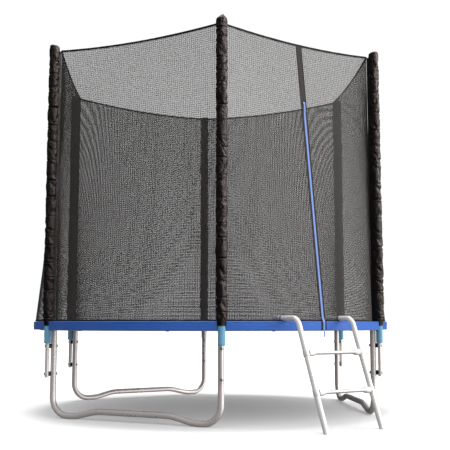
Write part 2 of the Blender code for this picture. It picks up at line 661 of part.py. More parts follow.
def add_ladder(collection, cutters, steel, tread):
    """Two bent rails that hook level over the pad, and two rungs between them."""
    knee = ladder_slope_point(LADDER_TOP_HEIGHT)
    down = (ladder_slope_point(0.0) - knee).normalized()
    inward = Vector((0.0, 1.0, 0.0))
    half_turn = down.angle(inward) / 2
    setback = LADDER_KNEE_RADIUS / math.tan(half_turn)
    bisector = (down + inward).normalized()
    centre = knee + bisector * (LADDER_KNEE_RADIUS / math.sin(half_turn))
    first = knee + down * setback - centre
    sweep = math.pi - 2 * half_turn
    path = [ladder_slope_point(0.0) + down * 2 * LADDER_RADIUS]
    for index in range(LADDER_KNEE_STEPS + 1):
        turn = Matrix.Rotation(-sweep * index / LADDER_KNEE_STEPS, 3, "X")
        path.append(centre + turn @ first)
    path.append(Vector((0.0, LADDER_HOOK_DEPTH - RING_RADIUS, knee.z)))

    rail = swept("ladder_rail", path, LADDER_RADIUS, collection, LADDER_WALL)
    reach = 4 * LADDER_RADIUS
    foot = ladder_slope_point(0.0)
    floor = box("ladder_floor", foot + Vector((-reach, -reach, -reach)), foot + Vector((reach, reach, 0.0)), cutters)
    floor.hide_render = True
    floor.display_type = "WIRE"
    mesh = bake(boolean(rail, floor))
    for side, x in zip(("left", "right"), ladder_rail_places()):
        item = new_object(f"ladder_rail_{side}", mesh, collection)
        item.location.x = x
        finish(item, steel)

    half = LADDER_WIDTH / 2 - LADDER_RADIUS - FIT_GAP
    socket = half - RUNG_SOCKET_LENGTH
    slim = RUNG_HALF_HEIGHT / RUNG_SOCKET_HALF_HEIGHT
    profile = [(0.0, half), (1.0, half), (1.0, socket), (slim, socket - RUNG_SOCKET_TAPER),
               (slim, RUNG_SOCKET_TAPER - socket), (1.0, -socket), (1.0, -half), (0.0, -half)]
    rung = bake(turned("rung", profile, TUBE_SIDES, collection))
    deep = Matrix.Diagonal((RUNG_SOCKET_HALF_HEIGHT, RUNG_HALF_DEPTH, 1.0)).to_4x4()
    rung.transform(Matrix.Rotation(math.pi / 2, 4, "Y") @ deep)
    for side, height in RUNG_HEIGHTS.items():
        item = new_object(f"ladder_rung_{side}", rung, collection)
        item.location = ladder_slope_point(height) + Vector((LADDER_OFFSET, 0.0, 0.0))
        finish(item, tread)


# ---------------------------------------------------------------- assembly

def main():
    clear_scene()
    parts = new_collection(OBJECT_NAME)
    cutters = new_collection(OBJECT_NAME + "_cutters")
    steel = new_material("galvanised_steel", (0.62, 0.61, 0.60), 0.35, 1.0)
    zinc = new_material("zinc_plate", (0.55, 0.55, 0.56), 0.40, 1.0)
    foam = new_material("light_blue_foam", (0.12, 0.30, 0.47), 0.75)
    fabric = new_material("black_fabric", (0.012, 0.011, 0.010), 0.55)
    mesh_net = new_material("black_mesh", (0.015, 0.015, 0.015), 0.80)
    mat = new_material("woven_mat", (0.010, 0.010, 0.012), 0.60)
    vinyl = new_material("blue_vinyl", (0.035, 0.115, 0.42), 0.45)
    zip_plastic = new_material("light_blue_zip", (0.30, 0.40, 0.75), 0.45)
    ladder_steel = new_material("white_coated_steel", (0.80, 0.80, 0.79), 0.35)
    tread = new_material("grey_tread", (0.45, 0.44, 0.43), 0.45)

    copies("rail_segment", rail_mesh(parts), POLE_ANGLES, parts, steel)
    copies("w_leg", leg_mesh(parts, cutters), LEG_ANGLES, parts, steel)

    bore = POLE_RADIUS - POLE_WALL
    joint = POLE_JOINT_HEIGHT + FIT_GAP
    upper = sleeve_mesh("pole_upper", POLE_RADIUS, bore, joint, POLE_TOP_HEIGHT, parts)
    foam_bore = POLE_RADIUS + FOAM_BORE_CLEARANCE
    sleeve = sleeve_mesh("foam_sleeve", FOAM_RADIUS, foam_bore, FOAM_BOTTOM_HEIGHT, FOAM_TOP_HEIGHT, parts)
    copies("pole_lower", pole_lower_mesh(parts, cutters), POLE_ANGLES, parts, steel)
    copies("pole_upper", upper, POLE_ANGLES, parts, steel)
    copies("foam_sleeve", sleeve, POLE_ANGLES, parts, foam)
    copies("net_pocket", pocket_mesh(parts), POLE_ANGLES, parts, fabric)
    for place, height in BOLT_HEIGHTS.items():
        copies(f"pole_bolt_{place}", pole_bolt_mesh(height, parts), POLE_ANGLES, parts, zinc)

    add_mat(parts, mat)
    add_springs(parts, zinc)
    add_pad(parts, cutters, vinyl)
    add_net(parts, cutters, mesh_net)
    add_zip_tape(parts, fabric)
    add_zip_slider(parts, zip_plastic)
    add_ladder(parts, cutters, ladder_steel, tread)


main()
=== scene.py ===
"""Surface model of a round garden trampoline with an enclosure net, W-shaped legs and a ladder.

Each operator builds one piece, or one group of like pieces, around the fixed frame. Lengths are
metres, +Z is up, the entrance faces -Y and the origin is the middle of the mat's top surface.
Six-fold pieces are worked out for the +X direction and turned about Z.
"""

import math

import bmesh
import bpy
import numpy as np
from bpy.props import FloatProperty, FloatVectorProperty, IntProperty, PointerProperty
from mathutils import Matrix, Vector


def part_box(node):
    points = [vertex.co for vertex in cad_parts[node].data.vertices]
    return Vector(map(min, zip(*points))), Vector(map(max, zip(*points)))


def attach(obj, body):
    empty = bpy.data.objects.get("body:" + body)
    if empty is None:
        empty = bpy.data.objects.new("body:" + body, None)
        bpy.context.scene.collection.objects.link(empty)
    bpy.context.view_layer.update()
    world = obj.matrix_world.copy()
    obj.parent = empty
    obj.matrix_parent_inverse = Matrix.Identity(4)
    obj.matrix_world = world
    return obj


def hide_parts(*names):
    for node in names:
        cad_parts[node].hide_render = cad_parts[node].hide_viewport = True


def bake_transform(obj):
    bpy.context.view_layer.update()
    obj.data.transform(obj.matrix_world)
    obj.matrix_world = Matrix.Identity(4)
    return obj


bl_info = {
    "name": "Garden Trampoline",
    "version": (1, 0, 0),
    "blender": (4, 5, 0),
    "location": "View3D > Sidebar > Trampoline",
    "description": "Builds the visible pieces of a round garden trampoline around its frame",
    "category": "Object",
}

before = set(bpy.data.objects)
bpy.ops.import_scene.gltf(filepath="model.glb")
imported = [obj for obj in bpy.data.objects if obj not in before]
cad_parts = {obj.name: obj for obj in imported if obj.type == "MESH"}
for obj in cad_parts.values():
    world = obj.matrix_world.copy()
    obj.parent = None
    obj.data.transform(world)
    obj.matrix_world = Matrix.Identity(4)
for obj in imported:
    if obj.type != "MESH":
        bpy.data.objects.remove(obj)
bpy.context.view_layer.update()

PANEL_TURNS = [math.radians(-90 + 60 * index) for index in range(6)]
POLE_TURNS = [math.radians(-120 + 60 * index) for index in range(6)]
LEG_TURNS = [math.radians(turn) for turn in (-150, -30, 90)]
HALF_SECTOR = math.radians(30)


# ---------------------------------------------------------------- sizes taken from the frame

def middle(node):
    low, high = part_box(node)
    return (low + high) / 2


def half_size(node):
    low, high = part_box(node)
    return (high - low) / 2


FLOOR_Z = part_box("w_leg_3")[0].z
TUBE_RADIUS = half_size("w_leg_3").y
LEG_PLANE = middle("w_leg_3").y
RING_RADIUS = LEG_PLANE / math.cos(HALF_SECTOR)
RING_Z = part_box("rail_segment_3")[1].z - TUBE_RADIUS
LEG_TOP_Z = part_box("w_leg_3")[1].z

POLE_CIRCLE = middle("pole_upper_3").x
POLE_RADIUS = half_size("pole_upper_3").y
POLE_FOOT_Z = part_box("pole_lower_3")[0].z
POLE_JOINT_Z, POLE_TOP_Z = (corner.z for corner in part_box("pole_upper_3"))
FOAM_RADIUS = half_size("foam_sleeve_3").y
FOAM_LOW_Z, FOAM_TOP_Z = (corner.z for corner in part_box("foam_sleeve_3"))
POCKET_RADIUS = half_size("net_pocket_3").y
POCKET_LOW_Z, POCKET_TIP_Z = (corner.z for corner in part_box("net_pocket_3"))
BOLT_HEIGHTS = {"lower": middle("pole_bolt_lower_3").z, "upper": middle("pole_bolt_upper_3").z}

MAT_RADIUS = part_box("jumping_mat")[1].x
MAT_THICKNESS = 2 * half_size("jumping_mat").z
SPRING_Z = middle("springs").z
PAD_SKIRT_Z, PAD_TOP_Z = (corner.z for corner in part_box("safety_pad"))
PAD_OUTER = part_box("safety_pad")[1].y
PAD_INNER = MAT_RADIUS - 0.015

NET_LOW_Z = PAD_TOP_Z + 0.001
NET_TOP_Z = NET_LOW_Z + 1.798
NET_SAG = 0.028
SEAM_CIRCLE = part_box("net_pocket_3")[0].x - 0.002
NET_FOOT_CIRCLE = RING_RADIUS + 0.040
NET_HALF_WIDTH = 0.605
CORD_REACH = 0.0003
SLIDER_Z = middle("zip_slider").z + 0.018

LADDER_X = [middle("ladder_rail_left").x, middle("ladder_rail_right").x]
LADDER_RADIUS = half_size("ladder_rail_left").x
LADDER_TOP_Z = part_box("ladder_rail_left")[1].z - LADDER_RADIUS
LADDER_HOOK_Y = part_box("ladder_rail_left")[1].y
LADDER_FOOT_Y = -1.578
LADDER_KNEE_Y = -1.336
LADDER_KNEE_RADIUS = 0.060
RUNGS = {side: middle(f"ladder_rung_{side}") for side in ("lower", "upper")}


ZINC = (0.62, 0.61, 0.60)
TAPE_BLACK = (0.020, 0.020, 0.021)
BINDING_BLACK = (0.012, 0.010, 0.009)
THREAD_BLACK = (0.03, 0.03, 0.03)
THREAD_WHITE = (0.55, 0.55, 0.54)
PLUG_WHITE = (0.55, 0.54, 0.53)


# ---------------------------------------------------------------- sizes and colours a user may change

def colour_property(name, description, default):
    return FloatVectorProperty(name=name, description=description, default=default, size=3, min=0.0,
                               max=1.0, subtype="COLOR")


def length_property(name, description, default):
    return FloatProperty(name=name, description=description, default=default, min=0.0, unit="LENGTH",
                         precision=4)


class FrameLook(bpy.types.PropertyGroup):
    steel: colour_property("Steel", "Galvanised tube of the ring, legs and poles", (0.78, 0.73, 0.70))
    plastic: colour_property("Plastic", "Spacer blocks, plugs and caps", (0.012, 0.012, 0.013))
    sides: IntProperty(name="Tube sides", description="Facets round each steel tube", default=28, min=8)


class SleeveLook(bpy.types.PropertyGroup):
    foam: colour_property("Foam", "Closed-cell foam on the net poles", (0.13, 0.335, 0.50))
    fabric: colour_property("Pocket fabric", "Satin fabric over the foam", (0.0032, 0.0026, 0.0022))
    fold_depth: FloatProperty(name="Fold depth", description="Of the pockets' creases, over the settled cloth's",
                              default=1.0, min=0.0, max=2.0)


class MatLook(bpy.types.PropertyGroup):
    weave: colour_property("Mat", "Woven mat", (0.014, 0.014, 0.016))
    wire: length_property("Spring wire", "Diameter of the springs' wire", 0.0028)
    count: IntProperty(name="Springs", description="Springs round the mat", default=48, min=12)


class PadLook(bpy.types.PropertyGroup):
    vinyl: colour_property("Vinyl", "Cover of the safety pad", (0.022, 0.108, 0.450))
    pucker_spacing: length_property("Pucker spacing", "Along the skirt's seam", 0.088)
    pucker_depth: length_property("Pucker depth", "Of the dents below the skirt's seam", 0.0035)


class NetLook(bpy.types.PropertyGroup):
    cord: colour_property("Cord", "Knitted net", (0.033, 0.030, 0.028))
    group_across: length_property("Group across", "Between thick upright cords", 0.0146)
    group_up: length_property("Group up", "Between thick level cords", 0.0134)
    cord_width: length_property("Cord width", "Mean width of a cord", 0.0020)
    zip_tape: colour_property("Zip tape", "Woven tape beside the zip", (0.026, 0.022, 0.019))
    zip_chain: colour_property("Zip chain", "Teeth of the zip", (0.15, 0.27, 0.68))


class LadderLook(bpy.types.PropertyGroup):
    coating: colour_property("Coating", "White coating of the rails", (0.78, 0.76, 0.74))
    tread: colour_property("Tread", "Moulded rungs", (0.68, 0.665, 0.65))


class StageLook(bpy.types.PropertyGroup):
    floor: colour_property("Floor", "Pale studio floor", (0.90, 0.90, 0.895))
    top_light: FloatProperty(name="Top light", description="Strength of the overhead light", default=1.5)
    side_light: FloatProperty(name="Side light", description="Strength of the front right light",
                              default=2.3)


# ---------------------------------------------------------------- shapes

def unit(vectors):
    return vectors / np.linalg.norm(vectors, axis=-1, keepdims=True)


def ease(share):
    share = np.clip(share, 0.0, 1.0)
    return share * share * (3 - 2 * share)


def ease_cosine(share):
    return (1 - np.cos(math.pi * np.clip(share, 0.0, 1.0))) / 2


def turned(points, turn):
    """Points turned about Z."""
    points = np.asarray(points, float)
    cos, sin = math.cos(turn), math.sin(turn)
    return np.stack([points[..., 0] * cos - points[..., 1] * sin,
                     points[..., 0] * sin + points[..., 1] * cos, points[..., 2]], -1)


def rumple(points, size, seed):
    """Smooth random height from -1 to 1 at each point, with bumps about size across."""
    cells = np.asarray(points, float) / size + 500.0
    base = np.floor(cells).astype(np.int64)
    share = ease(cells - base)
    total = np.zeros(cells.shape[:-1])
    for corner in np.ndindex(2, 2, 2):
        at = base + np.array(corner)
        code = (at[..., 0] * 73856093) ^ (at[..., 1] * 19349663) ^ (at[..., 2] * 83492791) ^ (seed * 7919)
        code = (code * 1103515245 + 12345) & 0x7FFFFFFF
        code = (code ^ (code >> 13)) * 1597334677 & 0x7FFFFFFF
        weight = np.prod(np.where(np.array(corner), share, 1 - share), axis=-1)
        total += weight * ((code >> 8 & 0xFFFF) / 32767.5 - 1)
    return total


def across_path(path, closed=False):
    """Tangent and two directions across a path at each point, turning as little as they can."""
    if closed:
        tangents = unit(np.roll(path, -1, 0) - np.roll(path, 1, 0))
    else:
        tangents = unit(np.gradient(path, axis=0))
    side = np.eye(3)[np.argmin(np.abs(tangents[0]))]
    sides = []
    for tangent in tangents:
        side = side - tangent * (side @ tangent)
        side = side / np.linalg.norm(side)
        sides.append(side)
    sides = np.array(sides)
    return tangents, sides, np.cross(tangents, sides)


def tube_rows(path, radius, sides, closed=False):
    """Rings of points round a path. The radius is one number or one for each point."""
    path = np.asarray(path, float)
    _, side, other = across_path(path, closed)
    turns = np.linspace(0, 2 * math.pi, sides, endpoint=False)
    reach = np.broadcast_to(np.asarray(radius, float).reshape(-1, 1, 1), (len(path), 1, 1))
    ring = np.cos(turns)[None, :, None] * side[:, None] + np.sin(turns)[None, :, None] * other[:, None]
    return path[:, None] + reach * ring


def lathe_rows(profile, sides):
    """Rings about Z for a profile of (radius, z) points."""
    turns = np.linspace(0, 2 * math.pi, sides, endpoint=False)
    radius, z = np.asarray(profile, float).T
    return np.stack([radius[:, None] * np.cos(turns), radius[:, None] * np.sin(turns),
                     np.broadcast_to(z[:, None], (len(z), sides))], -1)


def band_rows(path, normal, width, thickness):
    """Rounded flat band along a path. Normal is the direction of its face at each point."""
    path = np.asarray(path, float)
    normal = unit(np.broadcast_to(np.asarray(normal, float), path.shape))
    along = unit(np.gradient(path, axis=0))
    side = unit(np.cross(normal, along))
    normal = np.cross(along, side)
    half, t = np.broadcast_to(np.asarray(width, float) / 2, len(path))[:, None], thickness / 2
    corner = t * 0.8
    across = np.array([1, 1, 1, 1, -1, -1, -1, -1]) * half
    across -= np.array([1, 0, 0, 1, -1, 0, 0, -1]) * np.minimum(corner, half * 0.3)
    out = np.array([-t, -t + corner, t - corner, t, t, t - corner, -t + corner, -t])
    return path[:, None] + across[..., None] * side[:, None] + out[None, :, None] * normal[:, None]


def moved_by(rows, matrix):
    """Points moved by a 4x4 matrix."""
    matrix = np.array(matrix, float)
    return np.asarray(rows) @ matrix[:3, :3].T + matrix[:3, 3]


def arc(centre, start, axis, sweep, steps):
    """Points on an arc about an axis through the centre."""
    turn = [Matrix.Rotation(sweep * index / steps, 3, Vector(axis)) for index in range(steps + 1)]
    return np.array([Vector(centre) + step @ (Vector(start) - Vector(centre)) for step in turn])


def spaced(path, step):
    """The same path with points about one step apart."""
    path = np.asarray(path, float)
    length = np.concatenate([[0], np.cumsum(np.linalg.norm(np.diff(path, axis=0), axis=1))])
    count = max(2, int(round(length[-1] / step)) + 1)
    at = np.linspace(0, length[-1], count)
    return np.stack([np.interp(at, length, path[:, axis]) for axis in range(3)], -1)


class Shape:
    """Mesh put together from grids of points."""

    def __init__(self):
        self.points = []
        self.blocks = []
        self.marks = []
        self.size = 0

    def add(self, points, faces, mark=0):
        """Adds points, and one array of faces that have the same number of corners."""
        self.points.append(np.asarray(points, float).reshape(-1, 3))
        self.blocks.append(np.asarray(faces) + self.size)
        self.marks.append(mark)
        self.size += len(self.points[-1])

    def grid(self, rows, around=False, along=False, mark=0, caps=False):
        """Adds a grid of points. Caps closes its two ends."""
        rows = np.asarray(rows, float)
        index = np.arange(rows.shape[0] * rows.shape[1]).reshape(rows.shape[:2])
        ends = [index[0, ::-1], index[-1]] if caps else []
        if along:
            index = np.vstack([index, index[:1]])
        if around:
            index = np.hstack([index, index[:, :1]])
        quads = np.stack([index[:-1, :-1], index[:-1, 1:], index[1:, 1:], index[1:, :-1]], -1)
        self.add(rows, quads.reshape(-1, 4), mark)
        for end in ends:
            self.blocks.append(end[None] + self.size - rows.shape[0] * rows.shape[1])
            self.marks.append(mark)
        return self

    def tube(self, path, radius, sides=12, closed=False, mark=0, caps=True):
        rows = tube_rows(path, radius, sides, closed)
        return self.grid(rows, around=True, along=closed, mark=mark, caps=caps and not closed)

    def pipe(self, path, radius, wall, sides=24, mark=0):
        """Open tube with a wall."""
        outer = tube_rows(path, radius, sides)
        inner = tube_rows(path, np.asarray(radius) - wall, sides)[::-1]
        return self.grid(np.concatenate([outer, inner]), around=True, along=True, mark=mark)

    def lathe(self, profile, sides, matrix=None, mark=0, closed=False):
        rows = lathe_rows(profile, sides)
        if matrix is not None:
            rows = moved_by(rows, matrix)
        return self.grid(rows, around=True, along=closed, mark=mark, caps=not closed)

    def band(self, path, normal, width, thickness, mark=0):
        return self.grid(band_rows(path, normal, width, thickness), around=True, mark=mark, caps=True)

    def stitches(self, path, step, length, radius, mark=0):
        """Row of short thread stitches along a path."""
        path = spaced(path, step)
        for start, end in zip(path, path[1:]):
            reach = (end - start) * (length / step)
            ring = np.array([start, start + reach * 0.25, start + reach * 0.75, start + reach])
            self.grid(tube_rows(ring, [radius * 0.4, radius, radius, radius * 0.4], 5), around=True, mark=mark,
                      caps=True)
        return self

    def mesh(self, name):
        corners = np.concatenate([block.ravel() for block in self.blocks])
        sides = np.concatenate([np.full(len(block), block.shape[1]) for block in self.blocks])
        marks = np.concatenate([np.full(len(block), mark) for block, mark in zip(self.blocks, self.marks)])
        used, corners = np.unique(corners, return_inverse=True)
        mesh = bpy.data.meshes.new(name)
        mesh.vertices.add(len(used))
        mesh.vertices.foreach_set("co", np.concatenate(self.points)[used].ravel())
        mesh.loops.add(len(corners))
        mesh.loops.foreach_set("vertex_index", corners.ravel())
        mesh.polygons.add(len(sides))
        mesh.polygons.foreach_set("loop_start", np.cumsum(sides) - sides)
        mesh.polygons.foreach_set("material_index", marks)
        mesh.update(calc_edges=True)
        return mesh


def add_piece(name, shape, body, materials, replaces=(), turn=0.0, sharp=40):
    """Puts a shape, or a mesh, in the scene as a piece that rides on a body."""
    mesh = shape.mesh(name) if isinstance(shape, Shape) else shape.copy()
    mesh.transform(Matrix.Rotation(turn, 4, "Z"))
    if not mesh.materials:
        for material in materials:
            mesh.materials.append(material)
    mesh.shade_smooth()
    mesh.set_sharp_from_angle(angle=math.radians(sharp))
    item = bpy.data.objects.new(name, mesh)
    bpy.context.scene.collection.objects.link(item)
    if body:
        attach(item, body)
    if replaces:
        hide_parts(*replaces)
    return item


def add_round(prefix, mesh, materials, node=None, turns=POLE_TURNS):
    """Puts copies of a mesh round the frame, numbered from 1, each in place of its own node when a node is named."""
    for number, turn in enumerate(turns, start=1):
        add_piece(f"{prefix}_{number}", mesh, "frame", materials, [f"{node}_{number}"] if node else (), turn)


# ---------------------------------------------------------------- finishes

class Finish:
    """Material whose nodes are added one by one."""

    def __init__(self, name, colour, roughness, **sockets):
        self.material = bpy.data.materials.new(name)
        self.material.use_nodes = True
        self.tree = self.material.node_tree
        self.shader = self.tree.nodes["Principled BSDF"]
        self.set("Base Color", (*colour, 1.0))
        self.set("Roughness", roughness)
        for socket, value in sockets.items():
            self.set(socket.replace("_", " "), value)
        self.place = self.add("TexCoord").outputs["Object"]

    def set(self, socket, value):
        self.shader.inputs[socket].default_value = value

    def add(self, kind, settings=None, **sockets):
        node = self.tree.nodes.new("ShaderNode" + kind)
        for key, value in (settings or {}).items():
            setattr(node, key, value)
        for key, value in sockets.items():
            self.feed(node.inputs[key.replace("_", " ")], value)
        return node

    def feed(self, socket, value):
        """Links an output to the socket, or sets the socket to a constant."""
        if isinstance(value, bpy.types.NodeSocket):
            self.tree.links.new(value, socket)
        else:
            socket.default_value = value

    def link(self, output, socket):
        self.tree.links.new(output, self.shader.inputs[socket])

    def scaled(self, scale):
        """Object coordinates, scaled along each axis."""
        return self.add("Mapping", Vector=self.place, Scale=scale).outputs["Vector"]

    def noise(self, scale, detail=3.0, roughness=0.55, place=None):
        node = self.add("TexNoise", Vector=place or self.place, Scale=scale, Detail=detail, Roughness=roughness)
        return node.outputs["Fac"]

    def wave(self, scale, direction="X", place=None, distortion=0.0):
        node = self.add("TexWave", {"bands_direction": direction}, Vector=place or self.place, Scale=scale,
                        Distortion=distortion)
        return node.outputs["Fac"]

    def maths(self, operation, first, second=0.0):
        node = self.add("Math", {"operation": operation})
        for socket, value in zip(node.inputs, (first, second)):
            self.feed(socket, value)
        return node.outputs["Value"]

    def spread(self, value, low, high, start=0.0, end=1.0):
        """Value from start to end, spread over low to high."""
        node = self.add("MapRange", Value=value, From_Min=start, From_Max=end, To_Min=low, To_Max=high)
        return node.outputs["Result"]

    def blend(self, share, first, second):
        """Colour between two colours."""
        node = self.add("Mix", {"data_type": "RGBA"})
        self.tree.links.new(share, node.inputs["Factor"])
        for socket, colour in zip(node.inputs[6:8], (first, second)):
            socket.default_value = (*colour, 1.0)
        return node.outputs[2]

    def tint(self, share, colour, low, high):
        """Base colour that goes from a darker to a lighter shade of one colour."""
        self.link(self.blend(share, shade(colour, low), shade(colour, high)), "Base Color")

    def gloss(self, *settings):
        """Roughness spread over a range."""
        self.link(self.spread(*settings), "Roughness")

    def bump(self, height, distance, strength=1.0):
        node = self.add("Bump", Height=height, Distance=distance, Strength=strength)
        self.link(node.outputs["Normal"], "Normal")


def shade(colour, factor):
    return tuple(min(1.0, channel * factor) for channel in colour)


finishes = {}


def finish(name, maker, *settings):
    """The finish of that name, made once."""
    if name not in finishes:
        finishes[name] = maker(name, *settings)
    return finishes[name]


def tube_steel(name, colour):
    """Drawn galvanised tube with faint duller patches."""
    look = Finish(name, colour, 0.3, Metallic=0.45)
    patch = look.noise(9.0, 4.0)
    look.tint(patch, colour, 0.95, 1.03)
    look.gloss(look.noise(12.0, 3.0), 0.26, 0.31, 0.3, 0.7)
    look.bump(look.noise(60.0, 2.0), 0.0001, 0.05)
    return look.material


def zinc_plate(name, colour):
    look = Finish(name, colour, 0.3, Metallic=1.0)
    tint = look.noise(55.0, 4.0)
    look.tint(tint, colour, 0.72, 1.1)
    look.gloss(tint, 0.24, 0.46)
    look.bump(look.noise(900.0, 2.0), 0.0001, 0.3)
    return look.material


def moulded_plastic(name, colour):
    look = Finish(name, colour, 0.45)
    look.tint(look.noise(60.0), colour, 0.8, 1.5)
    look.gloss(look.noise(25.0), 0.38, 0.58)
    look.bump(look.noise(1400.0, 2.0), 0.0002, 0.4)
    return look.material


def foam_skin(name, colour):
    """Closed-cell foam: fine pores under a matt skin, with faint rubbed patches."""
    look = Finish(name, colour, 0.8, Sheen_Weight=0.15, Sheen_Roughness=0.5)
    pores = look.add("TexVoronoi", Vector=look.place, Scale=520.0).outputs["Distance"]
    rub = look.noise(16.0, 5.0)
    look.tint(rub, colour, 0.84, 1.10)
    look.gloss(rub, 0.66, 0.88)
    look.bump(look.maths("ADD", pores, look.maths("MULTIPLY", look.noise(70.0), 0.8)), 0.0008, 0.5)
    return look.material


def satin_fabric(name, colour):
    """Crumpled coated polyester: tight weave, small creases and uneven gloss."""
    look = Finish(name, colour, 0.36, Specular_IOR_Level=0.5, Specular_Tint=(1.0, 0.86, 0.80, 1.0))
    creases = look.noise(30.0, 6.0, 0.60, look.scaled((1.0, 1.0, 0.5)))
    weave = look.maths("MULTIPLY", look.wave(620.0, "Z"), look.wave(620.0, "DIAGONAL"))
    tone = look.noise(11.0, 5.0)
    look.tint(tone, colour, 0.62, 1.45)
    look.gloss(creases, 0.26, 0.50, 0.3, 0.7)
    height = look.maths("ADD", creases, look.maths("MULTIPLY", weave, 0.03))
    look.bump(height, 0.0110, 0.75)
    return look.material


def knitted_cord(name, colour):
    """Knitted polyethylene strands with a slight fleck."""
    look = Finish(name, colour, 0.55, Specular_IOR_Level=0.18)
    fleck = look.noise(240.0, 3.0)
    look.tint(fleck, colour, 0.6, 1.7)
    look.gloss(look.noise(30.0), 0.42, 0.62)
    look.bump(look.wave(420.0, "DIAGONAL", None, 2.0), 0.0005, 0.5)
    return look.material


def webbing(name, colour):
    """Ribbed woven tape."""
    look = Finish(name, colour, 0.75, Specular_IOR_Level=0.25, Sheen_Weight=0.02)
    ribs = look.maths("ADD", look.wave(260.0, "Z"), look.wave(260.0, "DIAGONAL"))
    look.tint(look.noise(120.0, 4.0), colour, 0.65, 1.5)
    look.gloss(look.noise(45.0), 0.58, 0.8)
    look.bump(ribs, 0.0005, 0.5)
    return look.material


def woven_mat(name, colour):
    """Flat polypropylene ribbons, over one and under one, with a plastic sheen."""
    look = Finish(name, colour, 0.45, Sheen_Weight=0.2, Sheen_Roughness=0.4)
    checks = look.add("TexChecker", Vector=look.place, Scale=420.0).outputs["Fac"]
    across = look.wave(66.0, "X")
    along = look.wave(66.0, "Y")
    ribbon = look.add("Mix", {"data_type": "FLOAT"}, Factor=checks, A=across, B=along).outputs["Result"]
    wear = look.noise(2.6, 5.0)
    look.tint(wear, colour, 0.7, 1.9)
    look.gloss(ribbon, 0.36, 0.58)
    look.bump(ribbon, 0.0006, 0.8)
    return look.material


def pad_vinyl(name, colour):
    """Vinyl-coated cloth: fine cloth grain showing through, soft scuffs."""
    look = Finish(name, colour, 0.5, Specular_IOR_Level=0.35, Sheen_Weight=0.05)
    scuff = look.noise(7.0, 6.0)
    cloth = look.maths("MULTIPLY", look.wave(460.0, "X"), look.wave(460.0, "Y"))
    cloth = look.maths("ADD", cloth, look.wave(460.0, "Z"))
    look.tint(scuff, colour, 0.86, 1.12)
    look.gloss(scuff, 0.40, 0.60, 0.3, 0.7)
    height = look.maths("ADD", look.maths("MULTIPLY", cloth, 0.06), look.noise(42.0, 4.0))
    look.bump(height, 0.0016, 0.5)
    return look.material


def coated_steel(name, colour):
    """White coating with a slight orange peel and duller, handled places."""
    look = Finish(name, colour, 0.34, Metallic=0.2, Coat_Weight=0.1, Coat_Roughness=0.2)
    handled = look.noise(8.0, 5.0)
    look.tint(handled, colour, 0.95, 1.02)
    look.gloss(handled, 0.22, 0.38, 0.3, 0.7)
    look.bump(look.noise(260.0, 2.0), 0.0003, 0.2)
    return look.material


def zip_plastic(name, colour):
    look = Finish(name, colour, 0.4)
    look.tint(look.noise(85.0), colour, 0.88, 1.08)
    look.gloss(look.noise(40.0), 0.34, 0.5)
    look.bump(look.noise(700.0), 0.0002, 0.3)
    return look.material


def studio_floor(name, colour):
    look = Finish(name, colour, 0.9, Specular_IOR_Level=0.1, Emission_Color=(1.0, 0.985, 0.98, 1.0),
                  Emission_Strength=0.16)
    look.tint(look.noise(0.7), colour, 0.995, 1.005)
    return look.material


def thread(name, colour):
    look = Finish(name, colour, 0.6, Sheen_Weight=0.2)
    look.tint(look.noise(500.0), colour, 0.7, 1.25)
    look.gloss(look.noise(300.0), 0.5, 0.7)
    look.bump(look.wave(900.0, "DIAGONAL"), 0.0002, 0.5)
    return look.material


# ---------------------------------------------------------------- net and ladder lines used by several pieces

def net_point(across, up):
    """Point of the net panel centred on +X: across -1 to 1 between its poles, up 0 to 1."""
    across, up = np.broadcast_arrays(np.asarray(across, float), np.asarray(up, float))
    end = SEAM_CIRCLE * math.sin(HALF_SECTOR) - 0.002
    top = np.stack([np.full_like(across, SEAM_CIRCLE * math.cos(HALF_SECTOR)), end * across,
                    NET_TOP_Z - NET_SAG * (1 - across ** 2)], -1)
    angle = math.asin(end / SEAM_CIRCLE) * across
    radius = NET_FOOT_CIRCLE - (NET_FOOT_CIRCLE - SEAM_CIRCLE) * across ** 6
    foot = np.stack([radius * np.cos(angle), radius * np.sin(angle), np.full_like(across, NET_LOW_Z)], -1)
    return foot + (top - foot) * up[..., None]


def net_normal():
    """Outward normal along the middle line of a panel."""
    along = unit(net_point(0.0, 1.0) - net_point(0.0, 0.0))
    return np.array([along[2], 0.0, -along[0]])


def ladder_path(x):
    """Centreline of a ladder rail from the floor, round the knee, to its end over the pad."""
    foot = Vector((x, LADDER_FOOT_Y, FLOOR_Z))
    knee = Vector((x, LADDER_KNEE_Y, LADDER_TOP_Z))
    down = (foot - knee).normalized()
    inward = Vector((0.0, 1.0, 0.0))
    half_turn = down.angle(inward) / 2
    start = knee + down * (LADDER_KNEE_RADIUS / math.tan(half_turn))
    centre = knee + (down + inward).normalized() * (LADDER_KNEE_RADIUS / math.sin(half_turn))
    bend = arc(centre, start, (1, 0, 0), -(math.pi - 2 * half_turn), 18)
    level = spaced(np.array([bend[-1], (x, LADDER_HOOK_Y, LADDER_TOP_Z)]), 0.02)[1:]
    slope = spaced(np.array([foot, start]), 0.03)[:-1]
    return np.concatenate([slope, bend, level]), down


# ---------------------------------------------------------------- operators

class Builder:
    """What all the operators share."""
    bl_options = {"REGISTER", "UNDO"}

    def execute(self, context):
        self.build(context.scene)
        return {"FINISHED"}


